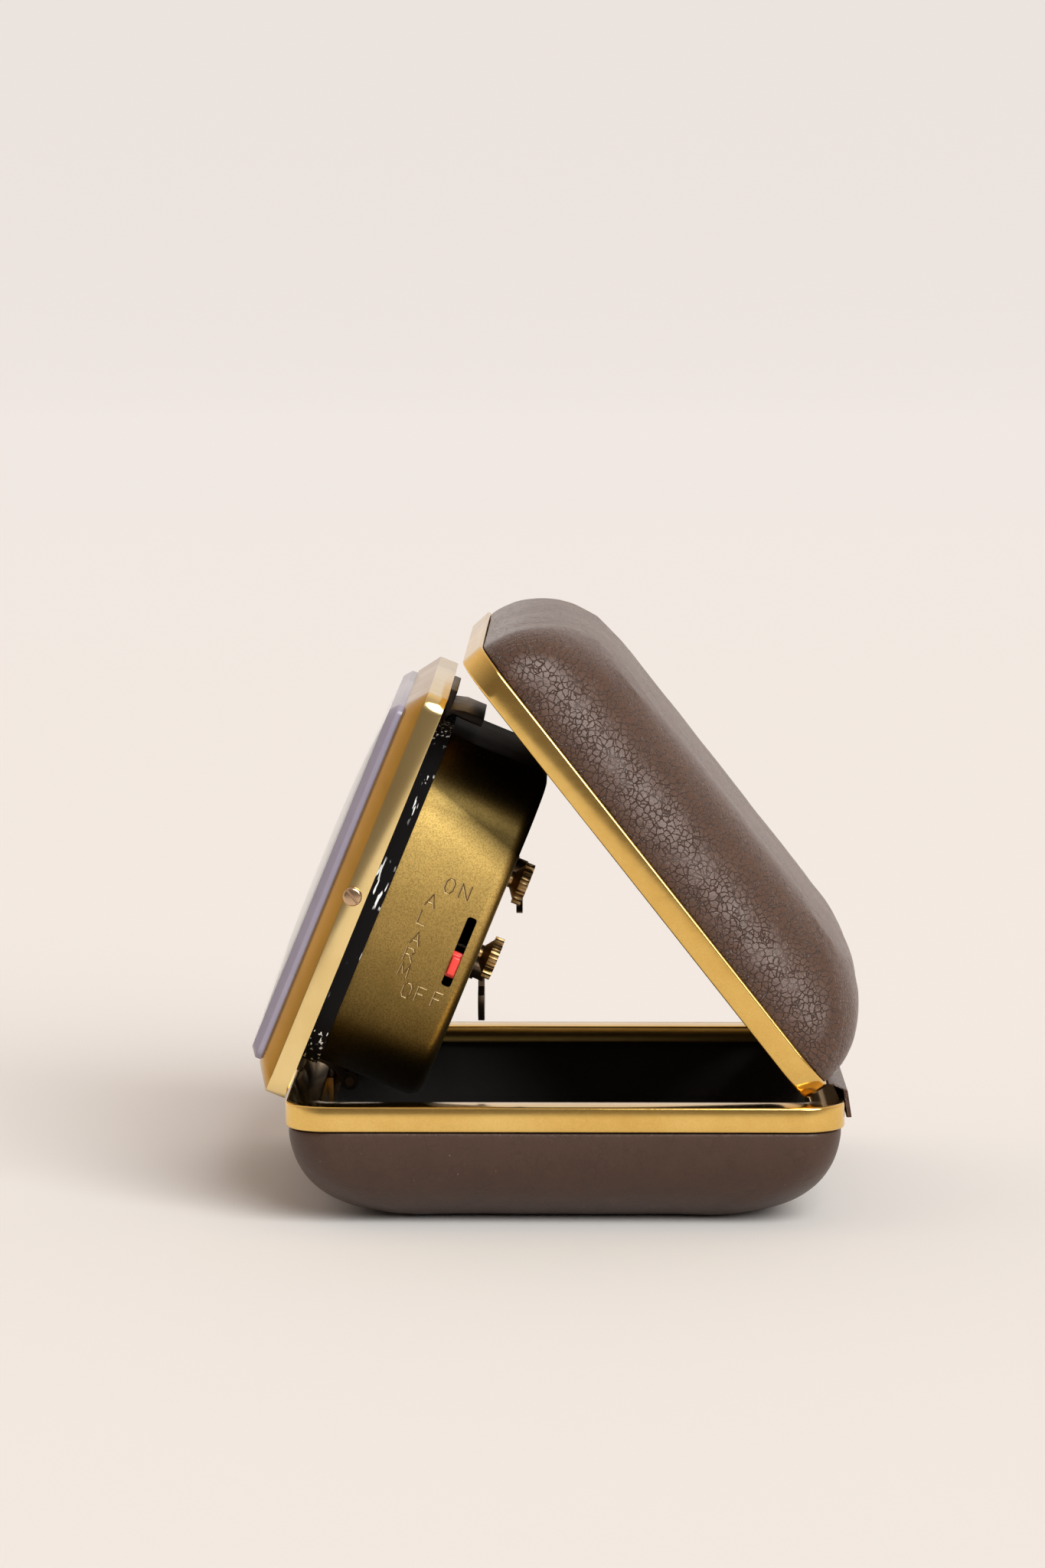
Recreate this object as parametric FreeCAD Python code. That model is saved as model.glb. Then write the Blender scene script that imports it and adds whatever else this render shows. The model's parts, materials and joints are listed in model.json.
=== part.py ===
import FreeCAD, Part
import math
import os

# Folding travel alarm clock, open on its stand. Millimetres, +Z up. The dial
# faces -Y, +X is the side with the alarm switch, and the origin is the middle
# of the flat foot that rests on the table.
V = FreeCAD.Vector
X_AXIS = V(1, 0, 0)
Z_AXIS = V(0, 0, 1)

# Movement plates come first: drum, head and case are sized round them
plate_width = 51.0
plate_height = 42.0
plate_side_room = 1.9
plate_end_room = 2.4
drum_sheet = 0.6
drum_width = plate_width + 2 * (plate_side_room + drum_sheet)
drum_height = plate_height + 2 * (plate_end_room + drum_sheet)
head_side_border = 5.2
head_end_border = 5.1
head_width = drum_width + 2 * head_side_border
head_height = drum_height + 2 * head_end_border

# Case halves, both made on the same form
rail_width = 4.7
case_side_room = 1.1
case_end_room = 3.7
case_width = head_width + 2 * (rail_width + case_side_room)
case_depth = head_height + 2 * (rail_width + case_end_room)
half_height = 16.8
rim_corner = 6.0
foot_corner = 9.0
pillow_inset = 13.4
leather_thickness = 0.8
leather_step = 0.15
leather_gap = 0.15
tray_thickness = 0.5
tray_gap = 0.06
lining_thickness = 0.25
lining_margin = 1.2
# Angles of the cross-sections that shape the pillow, from rim to foot
pillow_stations = [0, 18, 36, 54, 72, 90]
plain_stations = [0, 36, 72, 90]
pillow_corner_steps = 5
plain_corner_steps = 3

# Rolled brass frames
rail_skirt = 3.4
rail_inner_skirt = 2.5
rail_sheet = 0.7
rail_bevel = 0.8
tray_top_gap = 0.4

# Pose of the lid on the open stand: it leans past the head's top with room for the catch
lid_foot_setback = 5.0
lid_foot_gap = 0.12
catch_room = 4.66

# Hinge axis of the lid: beyond its rear rail, and in from the frame plane
lid_axis_out = 1.1
lid_axis_in = 2.3
strap_thickness = 0.7
strap_half_width = 31.0
strap_drop = 2.6
strap_slack = 0.35
strap_bow = 2.2

# Pose of the clock head
head_lean = 67.7
head_overhang = 0.2
head_foot_drop = 0.12

# Bezel
bezel_corner = 2.5
bezel_side = 2.77
bezel_sheet = 0.8
bevel_depth = 2.23
bevel_inset = 2.95
bevel_steps = 3
bezel_hole_radius = 0.25
bezel_hole_up = 0.9
bezel_hole_in = 0.8
bezel_screw_in = 1.85
bezel_screw_radius = 1.3
bezel_screw_dome = 0.55
bezel_screw_slot = 0.35
bezel_screw_slot_depth = 0.3

# Crystal
crystal_inset = 3.2
crystal_fit = 0.08
crystal_front = 6.7
crystal_bevel = 1.5
crystal_wall = 1.1
crystal_flange = 0.9
crystal_flange_lip = 0.8
crystal_flange_drop = 0.5
crystal_corner = 1.6
crystal_dome = 1.0
crystal_dome_run = 8.0

# Movement holder and dial
holder_plate = 1.0
holder_fit = 0.15
holder_ring_depth = 2.3
holder_ring_out = 0.8
holder_lip = 5.0
holder_window_width = drum_width - 2 * holder_lip
holder_window_height = drum_height - 2 * holder_lip
dial_thickness = 0.4
dial_level = 1.45
dial_edge = 1.2
dial_hole = 1.75

# Drum behind the bezel
drum_corner = 9.0
drum_depth = 16.9
drum_bevel = 1.2
drum_inner_bevel = 0.84
drum_rise = 0.1
drum_middle = (0, head_height / 2 - drum_rise)
centre_up = drum_middle[1]

# Alarm switch in the drum's right wall
switch_drop = 2.1
switch_up = centre_up - switch_drop
switch_in = 2.6
switch_back = drum_depth - switch_in
switch_length = 10.0
switch_width = 1.35
slider_length = 2.6
slider_rest_drop = 2.0
slider_rest_up = switch_up - slider_rest_drop
slider_proud = 0.9
slider_fit = 0.12
slider_shoe = 1.0
slider_shoe_spread = 0.5

# Plates and pillars
plate_thickness = 0.8
plate_corner = 8.0
plate_space = 8.8
pillar_radius = 1.2
pillar_inset = 3.4

# Teeth: shares of the module, and of the pitch that half a tooth takes
addendum_share = 0.85
dedendum_share = 1.15
root_share = 0.29
tip_share = 0.11

# Going train: teeth, and the distance between each pair of arbors
great_teeth = 28
centre_pinion_teeth = 7
centre_teeth = 28
third_pinion_teeth = 7
centre_span = 8.4
third_teeth = 24
fourth_pinion_teeth = 6
third_span = 6.6
fourth_teeth = 24
escape_pinion_teeth = 6
fourth_span = 5.2
escape_teeth = 12
escape_radius = 3.6
escape_depth = 0.9
escape_lean_share = 0.2
third_bearing = 15
fourth_bearing = 0
escape_bearing = 0
wheel_thickness = 0.4
bar_flats = 12
pinion_length = 1.2
arbor_radius = 0.45
pivot_fit = 0.05
end_shake = 0.05

# Barrels and winding keys
key_across = -9.0
time_key_drop = 8.0
time_key_up = centre_up - time_key_drop
alarm_key_across = -18.5
alarm_key_rise = 6.0
alarm_key_up = centre_up + alarm_key_rise
barrel_radius = 8.4
barrel_height = 5.2
barrel_front_gap = 1.5
barrel_arbor_radius = 1.1
alarm_barrel_radius = 5.2
alarm_great_teeth = 21
alarm_great_radius = 5.9

# Balance and lever
balance_radius = 5.6
balance_rim = 0.8
balance_side_room = 4.5
balance_across = plate_width / 2 - pillar_inset - balance_side_room
balance_drop = 11.6
balance_up = centre_up - balance_drop
balance_thickness = 0.5
balance_arm = 0.8
lever_back = 4.9
lever_span = 2.6
lever_width = 0.7
spring_turns = 3
spring_steps = 10
spring_pitch = 0.7
spring_wire = 0.1
spring_height = 0.3
spring_start = 0.75

# Motion work in front of the plates
motion_span = 6.0
cannon_teeth = 7
minute_teeth = 21
minute_pinion_teeth = 6
hour_teeth = 24
setting_teeth = 14
alarm_disc_teeth = 24
alarm_setting_teeth = 8
motion_wheel_thickness = 0.35
cannon_radius = 0.75
hour_pipe_radius = 1.1
alarm_pipe_radius = 1.5
pipe_fit = 0.06
hand_thickness = 0.2
alarm_hand_level = 2.25
hour_hand_level = 2.85
minute_hand_level = 3.45
hour_hand_length = 13.0
minute_hand_length = 19.5
alarm_hand_length = 10.5
hand_width = 1.9
hand_tail = 3.4
hand_boss = 0.5
minute_hand_bearing = 30
hour_hand_bearing = 150
alarm_hand_bearing = -90

# Setting knobs on the back
setting_across = 13.0
hand_set_drop = 3.1
alarm_set_rise = 8.0
hand_set_up = centre_up - hand_set_drop
alarm_set_up = centre_up + alarm_set_rise
knob_radius = 3.0
knob_rim = 1.25
knob_teeth = 16
knob_tip_share = 0.17
knob_tooth = 0.45
knob_reach = 3.05
knob_end = drum_depth + knob_reach
knob_cone = 1.0
knob_stem_radius = 1.2
knob_seat_in = 0.3
stem_radius = 0.6
stem_fit = 0.06
knob_seat = -drum_depth + knob_seat_in

# Folding winding keys
key_hub_radius = 1.9
key_hub_reach = 3.1
key_hub_end = drum_depth + key_hub_reach
key_leaf_thickness = 0.9
key_leaf_width = 6.6
key_leaf_length = 7.4
alarm_leaf_width = 5.0
alarm_leaf_length = 6.2
key_leaf_pivot_in = 0.75
key_leaf_waist = 2.2
key_pin_radius = 0.3
key_pin_fit = 0.05

# Head hinge at the front rail, and the catch at the top
hinge_up = 2.3
hinge_back = 7.6
hinge_half_width = 11.5
hinge_knuckle = 3.7
hinge_gap = 0.25
hinge_barrel_radius = 1.25
knuckle_crown_share = 0.8
knuckle_back_share = 0.6
knuckle_heel_share = 0.1
hinge_pin_radius = 0.6
hinge_pin_fit = 0.05
leaf_sheet = 1.0
leaf_height = 10.8
leaf_foot = 1.0
leaf_arm_low = 3.2
leaf_arm_high = 4.7
base_leaf_sheet = 0.8
base_leaf_depth = 4.2
base_leaf_top_gap = 0.4
base_leaf_arm = 1.3
catch_height = 10.6
catch_top_drop = 0.2
catch_tongue_drop = 3.2
catch_tongue_rise = 1.1
catch_tongue_bend = 2.9
catch_tongue_length = 5.8
catch_tongue_thickness = 1.2
catch_top = head_height - catch_top_drop
catch_foot = catch_top - catch_height

# Hammer of the alarm
hammer_across = 3.0
hammer_in = 2.8
hammer_up = centre_up + plate_height / 2 - hammer_in
hammer_arm = 4.6
hammer_width = 0.9
hammer_head = 1.4

# One overrun for every cut
over = 1.0


# Shared shapes
def save(name, shape):
    shape.exportStep("parts/" + name + ".step")


def circle_point(x, y, radius, degrees, z=0):
    angle = math.radians(degrees)
    return V(x + radius * math.cos(angle), y + radius * math.sin(angle), z)


def rounded_wire(width, height, corner, z, middle=(0, 0)):
    # A rectangle with round corners, as four lines and four arcs
    edges = []
    places = ((1, -1, -90), (1, 1, 0), (-1, 1, 90), (-1, -1, 180))
    arcs = []
    for side_x, side_y, start in places:
        x = middle[0] + side_x * (width / 2 - corner)
        y = middle[1] + side_y * (height / 2 - corner)
        arcs.append([circle_point(x, y, corner, start + turn, z) for turn in (0, 45, 90)])
    for place, arc in enumerate(arcs):
        edges.append(Part.Arc(arc[0], arc[1], arc[2]).toShape())
        after = arcs[(place + 1) % len(arcs)]
        edges.append(Part.makeLine(arc[2], after[0]))
    return Part.Wire(edges)


def stepped_ring(width, height, corner, steps, z, middle=(0, 0)):
    # The same outline as points, with each corner taken in short straight steps
    points = []
    for side_x, side_y, start in ((1, -1, -90), (1, 1, 0), (-1, 1, 90), (-1, -1, 180)):
        x = middle[0] + side_x * (width / 2 - corner)
        y = middle[1] + side_y * (height / 2 - corner)
        for step in range(steps + 1):
            points.append(circle_point(x, y, corner, start + 90 * step / steps, z))
    return points


def circle_ring(x, y, radius, steps, z):
    return [circle_point(x, y, radius, 360 * step / steps, z) for step in range(steps)]


def stepped_slab(width, height, corner, steps, low, high, middle=(0, 0)):
    points = stepped_ring(width, height, corner, steps, low, middle)
    return Part.Face(Part.makePolygon(points + points[:1])).extrude(V(0, 0, high - low))


def stacked(rings):
    # A flat-sided body through a stack of rings with the same number of points
    faces = [Part.Face(Part.makePolygon(ring + ring[:1])) for ring in (rings[0], rings[-1])]
    for low, high in zip(rings, rings[1:]):
        for place in range(len(low)):
            after = (place + 1) % len(low)
            corners = [low[place], low[after], high[after], high[place]]
            faces.append(Part.Face(Part.makePolygon(corners + corners[:1])))
    shell = Part.makeShell(faces)
    shell.sewShape()
    body = Part.makeSolid(shell)
    if body.Volume < 0:
        body.reverse()
    return body


def cut_corner_slab(width, height, corner, low, high, middle=(0, 0)):
    # A plate whose corners are cut straight
    half_x = width / 2
    half_y = height / 2
    points = []
    for side_x, side_y in ((1, -1), (1, 1), (-1, 1), (-1, -1)):
        along = (middle[0] + side_x * (half_x - corner), middle[1] + side_y * half_y)
        upright = (middle[0] + side_x * half_x, middle[1] + side_y * (half_y - corner))
        points.extend([along, upright] if side_x * side_y < 0 else [upright, along])
    return flat_prism(points, low, high)


def slab(width, height, corner, low, high, middle=(0, 0)):
    face = Part.Face(rounded_wire(width, height, corner, low, middle))
    return face.extrude(V(0, 0, high - low))


def post(x, y, radius, low, high):
    return Part.makeCylinder(radius, high - low, V(x, y, low), Z_AXIS)


def stepped_post(x, y, radius, low, high):
    # A round bar in short flats, for what turns inside the closed drum
    points = []
    for step in range(bar_flats):
        spot = circle_point(x, y, radius, 360 * step / bar_flats)
        points.append((spot.x, spot.y))
    return flat_prism(points, low, high)


def cross_bar(y, z, radius, left, right):
    # A round bar along X
    return Part.makeCylinder(radius, right - left, V(left, y, z), X_AXIS)


def side_prism(points, left, right):
    # An outline in the Y-Z plane, drawn out along X
    corners = [V(left, y, z) for y, z in points]
    face = Part.Face(Part.makePolygon(corners + corners[:1]))
    return face.extrude(V(right - left, 0, 0))


def flat_prism(points, low, high):
    # An outline in the X-Y plane, drawn out along Z
    corners = [V(x, y, low) for x, y in points]
    face = Part.Face(Part.makePolygon(corners + corners[:1]))
    return face.extrude(V(0, 0, high - low))


def cut_all(body, tools):
    for tool in tools:
        body = body.cut(tool)
    return body


def fuse_all(parts):
    body = parts[0]
    for part in parts[1:]:
        body = body.fuse(part)
    return body.removeSplitter()


# Toothed wheels
def pitch_radius(teeth, module):
    return teeth * module / 2


def module_for(span, teeth, mate_teeth):
    return 2 * span / (teeth + mate_teeth)


def tip_radius(teeth, module):
    return pitch_radius(teeth, module) + addendum_share * module


def toothed_disc(teeth, module, phase, x, y, low, high):
    tip = tip_radius(teeth, module)
    root = pitch_radius(teeth, module) - dedendum_share * module
    pitch = 360 / teeth
    points = []
    for number in range(teeth):
        middle = phase + number * pitch
        corners = ((root, -root_share), (tip, -tip_share), (tip, tip_share), (root, root_share))
        for radius, share in corners:
            spot = circle_point(x, y, radius, middle + share * pitch)
            points.append((spot.x, spot.y))
    return flat_prism(points, low, high)


def saw_disc(teeth, radius, depth, lean, x, y, low, high):
    # Pointed teeth that lean one way, as on an escape wheel
    pitch = 360 / teeth
    points = []
    for number in range(teeth):
        middle = number * pitch
        for reach, turn in ((radius - depth, 0), (radius, lean * pitch), (radius - depth, pitch / 2)):
            spot = circle_point(x, y, reach, middle + turn)
            points.append((spot.x, spot.y))
    return flat_prism(points, low, high)


def mesh_phase(phase, teeth, mate_teeth, bearing):
    # The mate's phase that puts its gap against a tooth of the first wheel
    return bearing + 180 + (180 - (phase - bearing) * teeth) / mate_teeth


def step_from(x, y, reach, bearing):
    spot = circle_point(x, y, reach, bearing)
    return spot.x, spot.y


def bearing_between(start, end):
    return math.degrees(math.atan2(end[1] - start[1], end[0] - start[0]))


# Placement of the three frames of reference
head_foot_y = -case_depth / 2 - head_overhang
head_foot_z = half_height - head_foot_drop
head_top_y = head_foot_y + head_height * math.cos(math.radians(head_lean))
head_top_z = head_foot_z + head_height * math.sin(math.radians(head_lean))


def to_head(shape):
    # Head frame: x across, y up along the bezel, z towards the face
    shape.rotate(V(0, 0, 0), X_AXIS, head_lean)
    shape.translate(V(0, head_foot_y, head_foot_z))
    return shape


lid_rear_y = case_depth / 2 - lid_foot_setback
lid_rear_z = half_height + lid_foot_gap
lid_reach = math.hypot(lid_rear_y - head_top_y, head_top_z - lid_rear_z)
lid_lean = math.degrees(math.atan2(head_top_z - lid_rear_z, lid_rear_y - head_top_y)
                        + math.asin(catch_room / lid_reach))


def to_lid(shape):
    # Lid frame: the open side looks along +z, and +y runs from hinge to front
    shape.translate(V(0, case_depth / 2, 0))
    shape.rotate(V(0, 0, 0), X_AXIS, 180 - lid_lean)
    shape.translate(V(0, lid_rear_y, lid_rear_z))
    return shape


def to_base(shape):
    shape.translate(V(0, 0, half_height))
    return shape


# Case halves, drawn with the frame plane at z = 0 and the foot below it
leather_top = -(rail_skirt + leather_gap)
foot_level = -half_height


def pillow_body(depth_in, top, stations):
    # The pillow shape, moved inwards from the leather's outside by depth_in
    drop = leather_top - foot_level
    rings = []
    if top > leather_top:
        rings.append(pillow_ring(0, depth_in, top))
    for station in stations:
        sine = math.sin(math.radians(station))
        rings.append(pillow_ring(station, depth_in, leather_top - (drop - depth_in) * sine))
    return stacked(rings)


def pillow_ring(station, depth_in, z):
    sine = math.sin(math.radians(station))
    cosine = math.cos(math.radians(station))
    inset = leather_step + (pillow_inset - leather_step) * (1 - cosine) + depth_in * cosine
    corner = rim_corner + (foot_corner - rim_corner) * (1 - cosine) - depth_in * cosine * (1 - sine)
    return stepped_ring(case_width - 2 * inset, case_depth - 2 * inset, corner, pillow_corner_steps, z)


def leather_cover():
    outside = pillow_body(0, leather_top, pillow_stations)
    return outside.cut(pillow_body(leather_thickness, leather_top, plain_stations))


def tray():
    outside = leather_thickness + tray_gap
    top = -(rail_sheet + tray_top_gap)
    shell = pillow_body(outside, top, plain_stations)
    return shell.cut(pillow_body(outside + tray_thickness, top, plain_stations))


def rail_frame():
    width = case_width
    depth = case_depth
    outer = slab(width, depth, rim_corner, -rail_skirt, 0)
    top_edges = [edge for edge in outer.Edges if abs(edge.CenterOfMass.z) < rail_sheet / 10]
    outer = outer.makeChamfer(rail_bevel, top_edges)
    window_width = width - 2 * rail_width
    window_depth = depth - 2 * rail_width
    window_corner = rim_corner - rail_width / 2
    window = slab(window_width, window_depth, window_corner, -rail_skirt - over, over)
    channel = stepped_slab(width - 2 * rail_sheet, depth - 2 * rail_sheet, rim_corner - rail_sheet,
                           pillow_corner_steps, -rail_skirt - over, -rail_sheet)
    lip_out = stepped_slab(window_width + 2 * rail_sheet, window_depth + 2 * rail_sheet,
                           window_corner + rail_sheet, plain_corner_steps, -rail_inner_skirt,
                           -rail_sheet)
    return outer.cut(channel.cut(lip_out)).cut(window)


def lining():
    # Flock pad on the tray's floor
    level = foot_level + leather_thickness + tray_gap + tray_thickness
    width = case_width - 2 * (pillow_inset + lining_margin)
    depth = case_depth - 2 * (pillow_inset + lining_margin)
    return cut_corner_slab(width, depth, foot_corner - lining_margin, level, level + lining_thickness)


def make_case_half(prefix, place):
    save(prefix + "_leather", place(leather_cover()))
    save(prefix + "_tray", place(tray()))
    save(prefix + "_frame", place(rail_frame()))
    save(prefix + "_lining", place(lining()))


# Leather spine between the rear rails
def lid_axis():
    lean = math.radians(lid_lean)
    y = lid_rear_y + lid_axis_out * math.cos(lean) + lid_axis_in * math.sin(lean)
    z = lid_rear_z - lid_axis_out * math.sin(lean) + lid_axis_in * math.cos(lean)
    return y, z


def spine_strap():
    # A strip glued to the lid's rear rail and to the base's, with a soft bend between
    lean = math.radians(lid_lean)
    rail_out = (math.cos(lean), -math.sin(lean))
    rail_up = (math.sin(lean), math.cos(lean))
    top = (lid_rear_y + rail_out[0] * strap_slack + rail_up[0] * rail_skirt,
           lid_rear_z + rail_out[1] * strap_slack + rail_up[1] * rail_skirt)
    foot = (case_depth / 2 + strap_slack, half_height - strap_drop)
    bow = (case_depth / 2 + strap_slack - strap_bow / 4, half_height + strap_bow / 2)
    inner = [top, bow, foot]
    outer = [(y + strap_thickness, z) for y, z in reversed(inner)]
    return side_prism(inner + outer, -strap_half_width, strap_half_width)


# Head: bezel and crystal
head_middle = (0, head_height / 2)


def head_slab(inset, corner, low, high):
    return stepped_slab(head_width - 2 * inset, head_height - 2 * inset, corner, plain_corner_steps,
                        low, high, head_middle)


def head_ring(inset, corner, z):
    return stepped_ring(head_width - 2 * inset, head_height - 2 * inset, corner, plain_corner_steps,
                        z, head_middle)


def bevel_body(grow):
    # The shoulder between the side wall and the crystal
    rings = []
    for step in range(bevel_steps + 1):
        turn = math.radians(90 * step / bevel_steps)
        inset = bevel_inset * (1 - math.cos(turn)) + grow
        corner = max(bezel_corner - inset / 3, bezel_corner / 4)
        rings.append(head_ring(inset, corner, bezel_side + (bevel_depth - grow) * math.sin(turn)))
    return stacked(rings)


def bezel():
    body = head_slab(0, bezel_corner, 0, bezel_side).fuse(bevel_body(0))
    inner_corner = bezel_corner - bezel_sheet
    hollow = head_slab(bezel_sheet, inner_corner, -over, bezel_side).fuse(bevel_body(bezel_sheet))
    opening = head_slab(crystal_inset - crystal_fit, crystal_corner, 0, crystal_front)
    body = body.cut(hollow).cut(opening)
    half = head_width / 2
    hole = cross_bar(bezel_hole_up, bezel_hole_in, bezel_hole_radius, half - over, half + over)
    return body.cut(hole).removeSplitter()


def bezel_screws():
    half = head_width / 2
    up = head_height / 2
    cap = cross_bar(up, bezel_screw_in, bezel_screw_radius, half, half + bezel_screw_dome)
    slot = Part.makeBox(over, 2 * bezel_screw_radius, bezel_screw_slot,
                        V(half + bezel_screw_dome - bezel_screw_slot_depth, up - bezel_screw_radius,
                          bezel_screw_in - bezel_screw_slot / 2))
    screw = cap.cut(slot)
    return Part.makeCompound([screw, screw.mirror(V(0, 0, 0), X_AXIS)])


def crystal():
    flange_back = bezel_side + bevel_depth - bezel_sheet - crystal_flange_drop - crystal_flange
    shoulder = bezel_side + bevel_depth
    flange_front = flange_back + crystal_flange
    face_inset = crystal_inset + crystal_bevel
    body = head_slab(crystal_inset, crystal_corner, flange_back, shoulder + crystal_fit)
    flange = head_slab(crystal_inset - crystal_flange_lip, crystal_corner, flange_back, flange_front)
    front = stacked([head_ring(crystal_inset, crystal_corner, shoulder + crystal_fit),
                     head_ring(face_inset, crystal_corner, crystal_front),
                     head_ring(face_inset + crystal_dome_run, crystal_corner,
                               crystal_front + crystal_dome)])
    pocket = head_slab(crystal_inset + crystal_wall, crystal_corner, flange_back - over,
                       shoulder)
    return body.fuse(flange).fuse(front).cut(pocket).removeSplitter()


# Movement holder, dial and drum
def holder():
    inset = bezel_sheet + holder_fit
    plate = head_slab(inset, bezel_corner - bezel_sheet, 0, holder_plate)
    ring = slab(drum_width + 2 * holder_ring_out, drum_height + 2 * holder_ring_out,
                drum_corner + holder_ring_out, -holder_ring_depth, 0, drum_middle)
    window = cut_corner_slab(holder_window_width, holder_window_height, drum_corner - holder_ring_out,
                             -holder_ring_depth - over, holder_plate + over, drum_middle)
    seats = []
    half = hinge_half_width + holder_fit
    for low, high in ((leaf_foot, leaf_height), (catch_foot, catch_top)):
        seats.append(Part.makeBox(2 * half, high - low + 2 * holder_fit, leaf_sheet + holder_fit,
                                  V(-half, low - holder_fit, -leaf_sheet - holder_fit)))
    low = drum_middle[1] - drum_height / 2 - 2 * holder_ring_out
    seats.append(Part.makeBox(2 * half, leaf_arm_high + holder_fit - low, holder_ring_depth + over,
                              V(-half, low, -holder_ring_depth - over)))
    return plate.fuse(cut_all(ring, seats)).cut(window).removeSplitter()


def dial():
    edge = bezel_sheet + dial_edge
    plate = cut_corner_slab(head_width - 2 * edge, head_height - 2 * edge, dial_edge, dial_level,
                            dial_level + dial_thickness, head_middle)
    hole = post(0, drum_middle[1], dial_hole, dial_level - over, dial_level + over)
    return plate.cut(hole)


def inner_drum_ring(inset, z):
    step_in = 2 * (drum_sheet + inset)
    return stepped_ring(drum_width - step_in, drum_height - step_in, drum_corner - drum_sheet - inset,
                        pillow_corner_steps, z, drum_middle)


def rear_case():
    outer = slab(drum_width, drum_height, drum_corner, -drum_depth, -holder_ring_depth, drum_middle)
    back = [edge for edge in outer.Edges if abs(edge.CenterOfMass.z + drum_depth) < drum_sheet / 10]
    outer = outer.makeChamfer(drum_bevel, back)
    inner_depth = drum_depth - drum_sheet
    inner = stacked([inner_drum_ring(drum_inner_bevel, -inner_depth),
                     inner_drum_ring(0, drum_inner_bevel - inner_depth),
                     inner_drum_ring(0, over - holder_ring_depth)])
    tools = []
    for up in (hand_set_up, alarm_set_up):
        tools.append(post(setting_across, up, knob_stem_radius + stem_fit, -drum_depth - over,
                          -inner_depth + over))
    for x, up in (barrel_place, alarm_barrel_place):
        tools.append(post(x, up, barrel_arbor_radius + stem_fit, -drum_depth - over,
                          -inner_depth + over))
    end = switch_width / 2
    reach = switch_length / 2 - end
    left = drum_width / 2 - drum_sheet - over
    right = drum_width / 2 + over
    for way in (-1, 1):
        tools.append(cross_bar(switch_up + way * reach, -switch_back, end, left, right))
    tools.append(Part.makeBox(right - left, 2 * reach, switch_width,
                              V(left, switch_up - reach, -switch_back - end)))
    return cut_all(outer.cut(inner), tools).removeSplitter()


def alarm_slider():
    wall = drum_width / 2
    inside = wall - drum_sheet - slider_fit
    width = switch_width - 2 * slider_fit
    finger = Part.makeBox(wall + slider_proud - inside, slider_length, width,
                          V(inside, slider_rest_up - slider_length / 2, -switch_back - width / 2))
    shoe_length = slider_length + 2 * slider_shoe_spread
    shoe_width = switch_width + 2 * slider_shoe_spread
    shoe = Part.makeBox(slider_shoe, shoe_length, shoe_width,
                        V(inside - slider_shoe, slider_rest_up - shoe_length / 2,
                          -switch_back - shoe_width / 2))
    return finger.fuse(shoe)


# Plates of the movement
front_plate_front = -holder_ring_depth
front_plate_back = front_plate_front - plate_thickness
back_plate_front = front_plate_back - plate_space
back_plate_back = back_plate_front - plate_thickness
third_place = step_from(0, centre_up, centre_span, third_bearing)
fourth_place = step_from(third_place[0], third_place[1], third_span, fourth_bearing)
escape_place = step_from(fourth_place[0], fourth_place[1], fourth_span, escape_bearing)
centre_module = module_for(centre_span, centre_teeth, third_pinion_teeth)
third_module = module_for(third_span, third_teeth, fourth_pinion_teeth)
fourth_module = module_for(fourth_span, fourth_teeth, escape_pinion_teeth)
balance_place = (balance_across, balance_up)
lever_bearing = bearing_between(escape_place, balance_place)
lever_place = step_from(escape_place[0], escape_place[1], lever_back, lever_bearing)
barrel_place = (key_across, time_key_up)
alarm_barrel_place = (alarm_key_across, alarm_key_up)
hand_set_place = (setting_across, hand_set_up)
alarm_set_place = (setting_across, alarm_set_up)
hammer_place = (hammer_across, hammer_up)


minute_module = module_for(motion_span, cannon_teeth, minute_teeth)
hour_module = module_for(motion_span, minute_pinion_teeth, hour_teeth)


def minute_wheel_place():
    # Where the minute wheel meshes with both the cannon pinion and the setting pinion
    near = motion_span
    far = pitch_radius(setting_teeth + minute_teeth, minute_module)
    span = math.hypot(hand_set_place[0], hand_set_place[1] - centre_up)
    along = (near ** 2 - far ** 2 + span ** 2) / (2 * span)
    turn = math.degrees(math.acos(along / near))
    bearing = bearing_between((0, centre_up), hand_set_place)
    return step_from(0, centre_up, near, bearing - turn)


minute_place = minute_wheel_place()


def pillar_places():
    reach_x = plate_width / 2 - pillar_inset
    reach_y = plate_height / 2 - pillar_inset
    return [(side * reach_x, centre_up + way * reach_y) for side in (-1, 1) for way in (-1, 1)]


def plate_blank(low, high):
    return cut_corner_slab(plate_width, plate_height, plate_corner, low, high, (0, centre_up))


def front_plate():
    # Holes only where an arbor comes through to the motion work
    tools = [post(0, centre_up, arbor_radius + pivot_fit, front_plate_back - over, front_plate_front + over),
             post(minute_place[0], minute_place[1], arbor_radius + pivot_fit, front_plate_back - over,
                  front_plate_front + over)]
    for x, y in (hand_set_place, alarm_set_place):
        tools.append(stepped_post(x, y, stem_radius + 2 * stem_fit, front_plate_back - over,
                                  front_plate_front + over))
    return cut_all(plate_blank(front_plate_back, front_plate_front), tools)


def back_plate():
    tools = []
    for x, y in (barrel_place, alarm_barrel_place):
        tools.append(stepped_post(x, y, barrel_arbor_radius + 2 * stem_fit, back_plate_back - over,
                                  back_plate_front + over))
    for x, y in (hand_set_place, alarm_set_place):
        tools.append(stepped_post(x, y, stem_radius + 2 * stem_fit, back_plate_back - over,
                                  back_plate_front + over))
    return cut_all(plate_blank(back_plate_back, back_plate_front), tools)


def pillars():
    # One pillar near each corner, between the two plates
    group = []
    for x, y in pillar_places():
        group.append(stepped_post(x, y, pillar_radius, back_plate_front, front_plate_back))
    return Part.makeCompound(group)


# Going train
def arbor(place):
    # From plate to plate, with a little end shake
    return stepped_post(place[0], place[1], arbor_radius, back_plate_front + end_shake,
                        front_plate_back - end_shake)


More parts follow.
